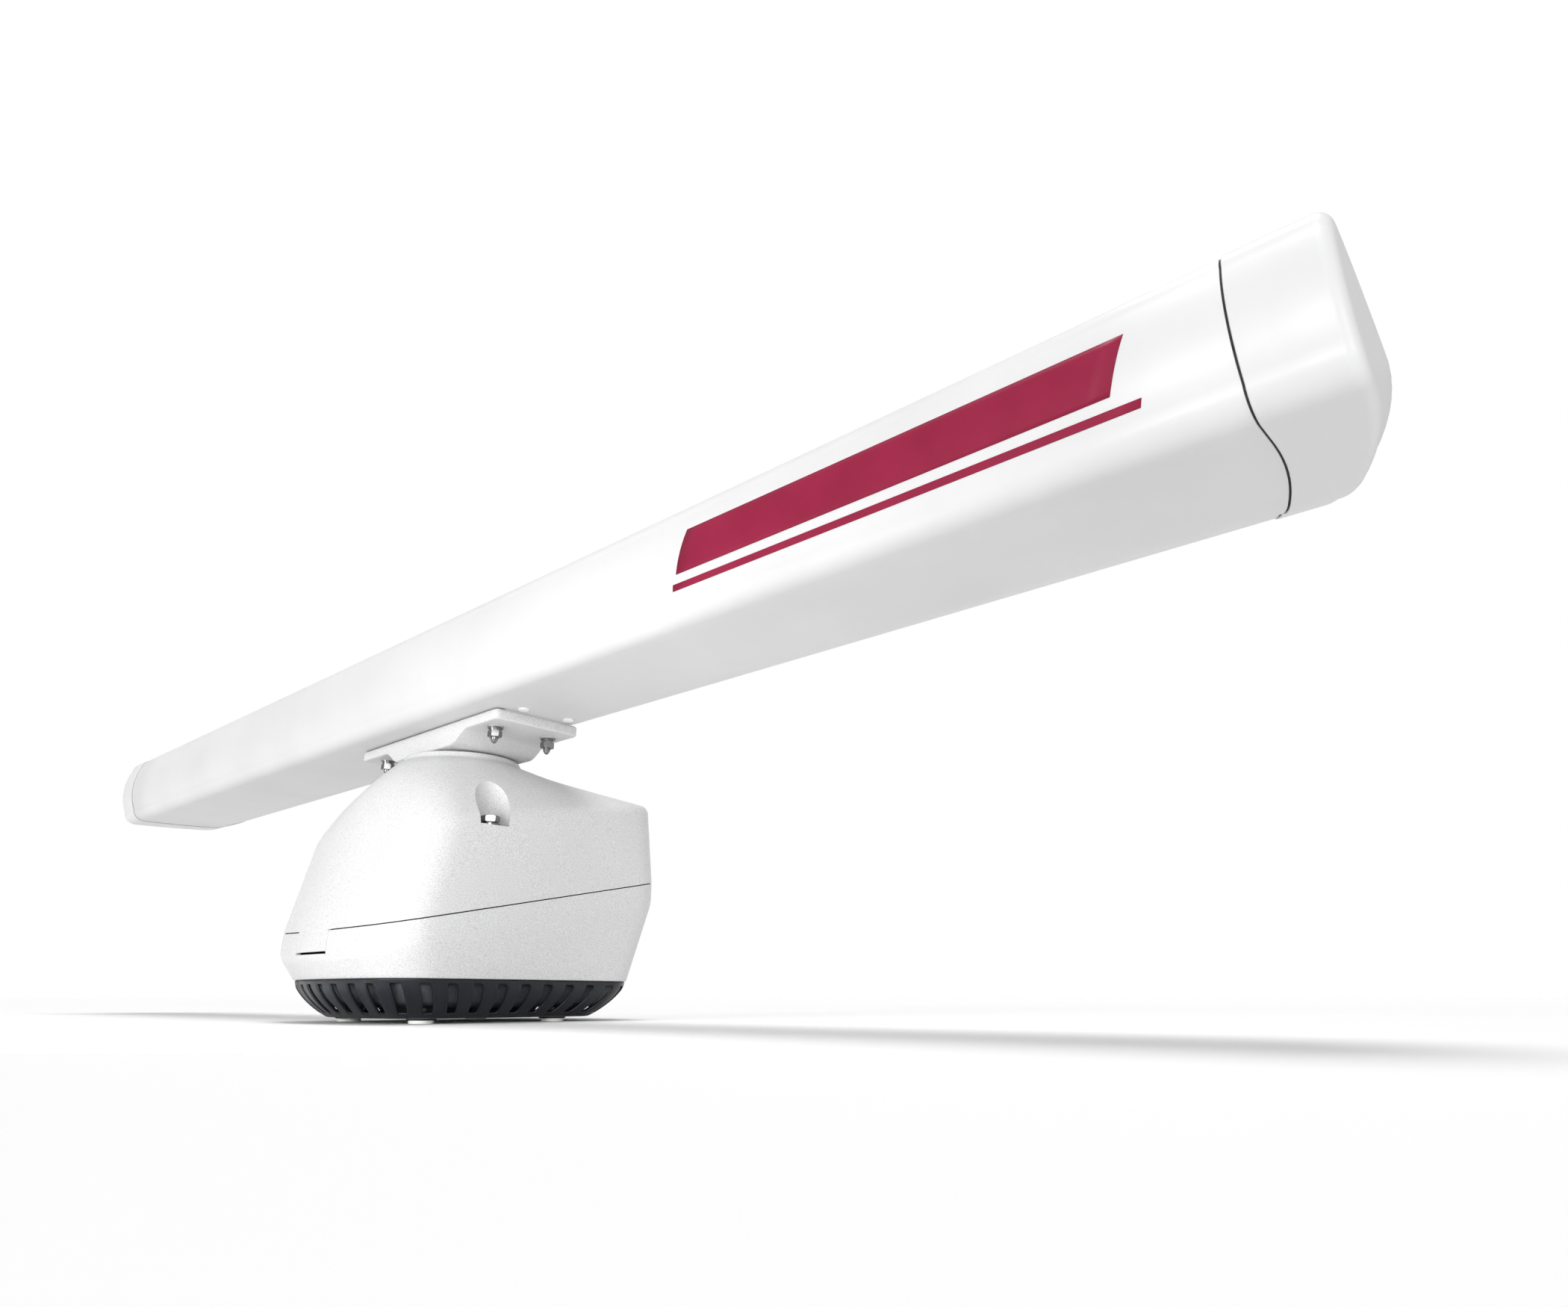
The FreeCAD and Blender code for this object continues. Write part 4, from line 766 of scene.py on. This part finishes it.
def bowl_ring(depth, inset=0.0):
    """The bowl's ring at a depth from 0 at the shell to 1 at the floor: a parabola through three plans."""
    shell = even(level_ring("seam", 0, 0, inset + 1.2), WINDOWS * ACROSS)
    waist = even(level_ring("waist", 0, 0, inset), WINDOWS * ACROSS)
    floor_plan = even(level_ring("bottom", 0, 0, inset), WINDOWS * ACROSS)
    made = []
    for a, b, c in zip(shell, waist, floor_plan):
        share = a * (1 - depth) * (1 - 2 * depth) + b * 4 * depth * (1 - depth) + c * depth * (2 * depth - 1)
        made.append(Vector((share.x, share.y, BOWL_TOP - depth * (BOWL_TOP - BOWL_LOW))) * MM)
    return made


# %% Bowl
DEPTHS = (0, 0.04, 0.13, 0.2, 0.26, 0.55, 0.82, 0.88, 0.96, 1.0)
WINDOW_ROWS = range(2, 7)          # rows of quads between the third depth and the eighth
LIP_SHARE, LIP_DEEP_SHARE, LIP_MIDDLE, LIP_DROP = 0.93, 0.95, 0.03, 0.0001   # the bowl's lip under its edge
bm = bmesh.new()
rings = [bowl_ring(depth) for depth in DEPTHS]
rings.append([Vector((p.x * LIP_SHARE, (p.y - LIP_MIDDLE) * LIP_DEEP_SHARE + LIP_MIDDLE, p.z - LIP_DROP))
              for p in rings[-1]])
made = stack(bm, rings, close=False)
doomed = []
for row in WINDOW_ROWS:
    for window in range(WINDOWS):
        for column in OPEN_COLUMNS:
            i = window * ACROSS + column
            corners = (made[row][i], made[row][(i + 1) % len(made[row])])
            shared = set(corners[0].link_faces) & set(corners[1].link_faces)
            doomed += list(shared & set(made[row + 1][i].link_faces))
bmesh.ops.delete(bm, geom=list(set(doomed)), context="FACES")
bowl = solid("bowl", bm)
wall = bowl.modifiers.new("wall", "SOLIDIFY")
wall.thickness = BOWL_WALL * MM
wall.offset = -1
wall.use_even_offset = True
rounding = bowl.modifiers.new("rounding", "SUBSURF")
rounding.levels = rounding.render_levels = 2
finished(bowl, "vented_bowl", base_plastic, "pedestal", ["base_grille"], angle=180)

# %% [markdown]
# Behind the windows stands a plain dark liner that keeps spray off the fans, and four tapered feet run from
# the shell down to the deck, each with its nylon pad.

# %% Liner and feet
FOOT_WIDE, FOOT_NARROW, FOOT_TALL, FOOT_MIDDLE = 14.2, 12.4, 37, 21.5
bm = bmesh.new()
liner_rings = []
for depth, inset in ((0.02, 11), (0.55, 11), (0.72, 13)):
    liner_rings.append(bowl_ring(depth, inset))
stack(bm, liner_rings, close=False)
liner = solid("liner", bm)
liner_wall = liner.modifiers.new("wall", "SOLIDIFY")
liner_wall.thickness = 1.5 * MM
finished(liner, "spray_liner", liner_plastic, "pedestal")

bm = bmesh.new()
for foot_x in (-FOOT_X, FOOT_X):
    for foot_y in FOOT_Y:
        made = bmesh.ops.create_cone(bm, cap_ends=True, segments=48, radius1=FOOT_WIDE * MM,
                                     radius2=FOOT_NARROW * MM, depth=FOOT_TALL * MM)
        bmesh.ops.translate(bm, verts=made["verts"], vec=Vector((foot_x, foot_y, FOOT_MIDDLE)) * MM)
soften(bm, [edge for edge in bm.edges if edge.calc_face_angle(0) > 1 and edge.verts[0].co.z < 0.01], 1.0, 3)
feet = carve(solid("feet", bm), [rod(6.3, 0, 22, x, y) for x in (-FOOT_X, FOOT_X) for y in FOOT_Y])
finished(feet, "tapered_feet", base_plastic, "pedestal")

# %% [markdown]
# ## The turning bracket
# The bracket is a casting bent like a wide hat brim: a low plateau bolted to the shaft, and two raised
# flanges that the bar's studs pass through. Its side view is one outline, so it is drawn once, given its
# depth with extrude, and bevelled all round.

# %% Bracket
BRACKET_LOW, FLANGE_LOW, BRACKET_TOP = 281.5, 295.4, 307.0
BRACKET_HALF, BRACKET_DEEP, PLATEAU, BEND = 147.0, 52.0, 58.0, 32.0
STUD_X, STUD_Y, SCREW_X, SCREW_Y = 117, 33, 50, 44      # washer seats and small drain holes


def bend_height(share):
    return BRACKET_LOW + (FLANGE_LOW - BRACKET_LOW) * (0.5 - 0.5 * math.cos(math.pi * share))


side_view = [(PLATEAU + BEND * i / 8, bend_height(i / 8)) for i in range(9)] + [(BRACKET_HALF, FLANGE_LOW)]
side_view = [(-x, z) for x, z in reversed(side_view)] + side_view
side_view += [(BRACKET_HALF, BRACKET_TOP), (-BRACKET_HALF, BRACKET_TOP)]
bm = bmesh.new()
front = bm.faces.new([bm.verts.new(Vector((x, -BRACKET_DEEP, z)) * MM) for x, z in side_view])
made = bmesh.ops.extrude_face_region(bm, geom=[front])["geom"]
bmesh.ops.translate(bm, verts=[item for item in made if isinstance(item, bmesh.types.BMVert)],
                    vec=Vector((0, 2 * BRACKET_DEEP, 0)) * MM)
bmesh.ops.recalc_face_normals(bm, faces=bm.faces)
uprights = [edge for edge in bm.edges if abs(edge.verts[0].co.x - edge.verts[1].co.x) < 1e-6
            and abs(edge.verts[0].co.y - edge.verts[1].co.y) < 1e-6 and edge.calc_face_angle(0) > 1]
soften(bm, uprights, 6, 6)
rims = [edge for edge in bm.edges if edge.calc_face_angle(0) > math.radians(60)]
soften(bm, rims, 2.4, 4)
bracket = solid("bracket", bm)
for x in (-STUD_X, STUD_X):
    for y in (-STUD_Y, STUD_Y):
        carve(bracket, [rod(8.6, 283, 296.4, x, y)])
for x in (-SCREW_X, SCREW_X):
    for y in (-SCREW_Y, SCREW_Y):
        carve(bracket, [rod(1.6, 280, 291, x, y, 24)])
carve(bracket, [rod(46.4, 280, 285.6)])
finished(bracket, "bracket_casting", casting, "scanner", ["turning_bracket"], angle=38)

# %% [markdown]
# ## A painted stripe
# The bar's face carries a plain crimson stripe with a thin line under it. The stripe is a sheet laid on the
# bowed face a quarter of a millimetre proud, so that it follows the light as paint does.

# %% Stripe
PAINT, PAINT_PROUD = 0.2, 0.25
crimson = new_material("crimson_paint", Specular_IOR_Level=0.25)
tone(crimson, object_noise(crimson, 30, 3), (0.225, 0.004, 0.034), (0.25, 0.006, 0.04))
roughen(crimson, object_noise(crimson, 400, 2), 0.5, 0.6)


def face_y(z):
    """How far forward the bar's face stands at a height, in millimetres."""
    face = [point for point in SECTION if point[0] < -60]
    for (y0, z0), (y1, z1) in zip(face, face[1:]):
        if min(z0, z1) <= z <= max(z0, z1) and z0 != z1:
            return y0 + (y1 - y0) * (z - z0) / (z1 - z0)
    return FRONT


def stripe(name, start, end, low, high, slant=0.35):
    bm = bmesh.new()
    bmesh.ops.create_grid(bm, x_segments=24, y_segments=10, size=0.5)
    for vert in bm.verts:
        across, up = vert.co.x + 0.5, vert.co.y + 0.5
        z = low + (high - low) * up
        x = start + (end - start) * across + (z - low) * slant
        vert.co = Vector((x, face_y(z) - PAINT_PROUD, z)) * MM
    bmesh.ops.recalc_face_normals(bm, faces=bm.faces)
    made = solid(name, bm)
    thickness = made.modifiers.new("paint", "SOLIDIFY")
    thickness.thickness = PAINT * MM
    thickness.offset = 0
    return finished(made, name, crimson, "scanner")


stripe("broad_stripe", 470, 835, 344, 380)
stripe("thin_stripe", 463, 850, 332, 337)
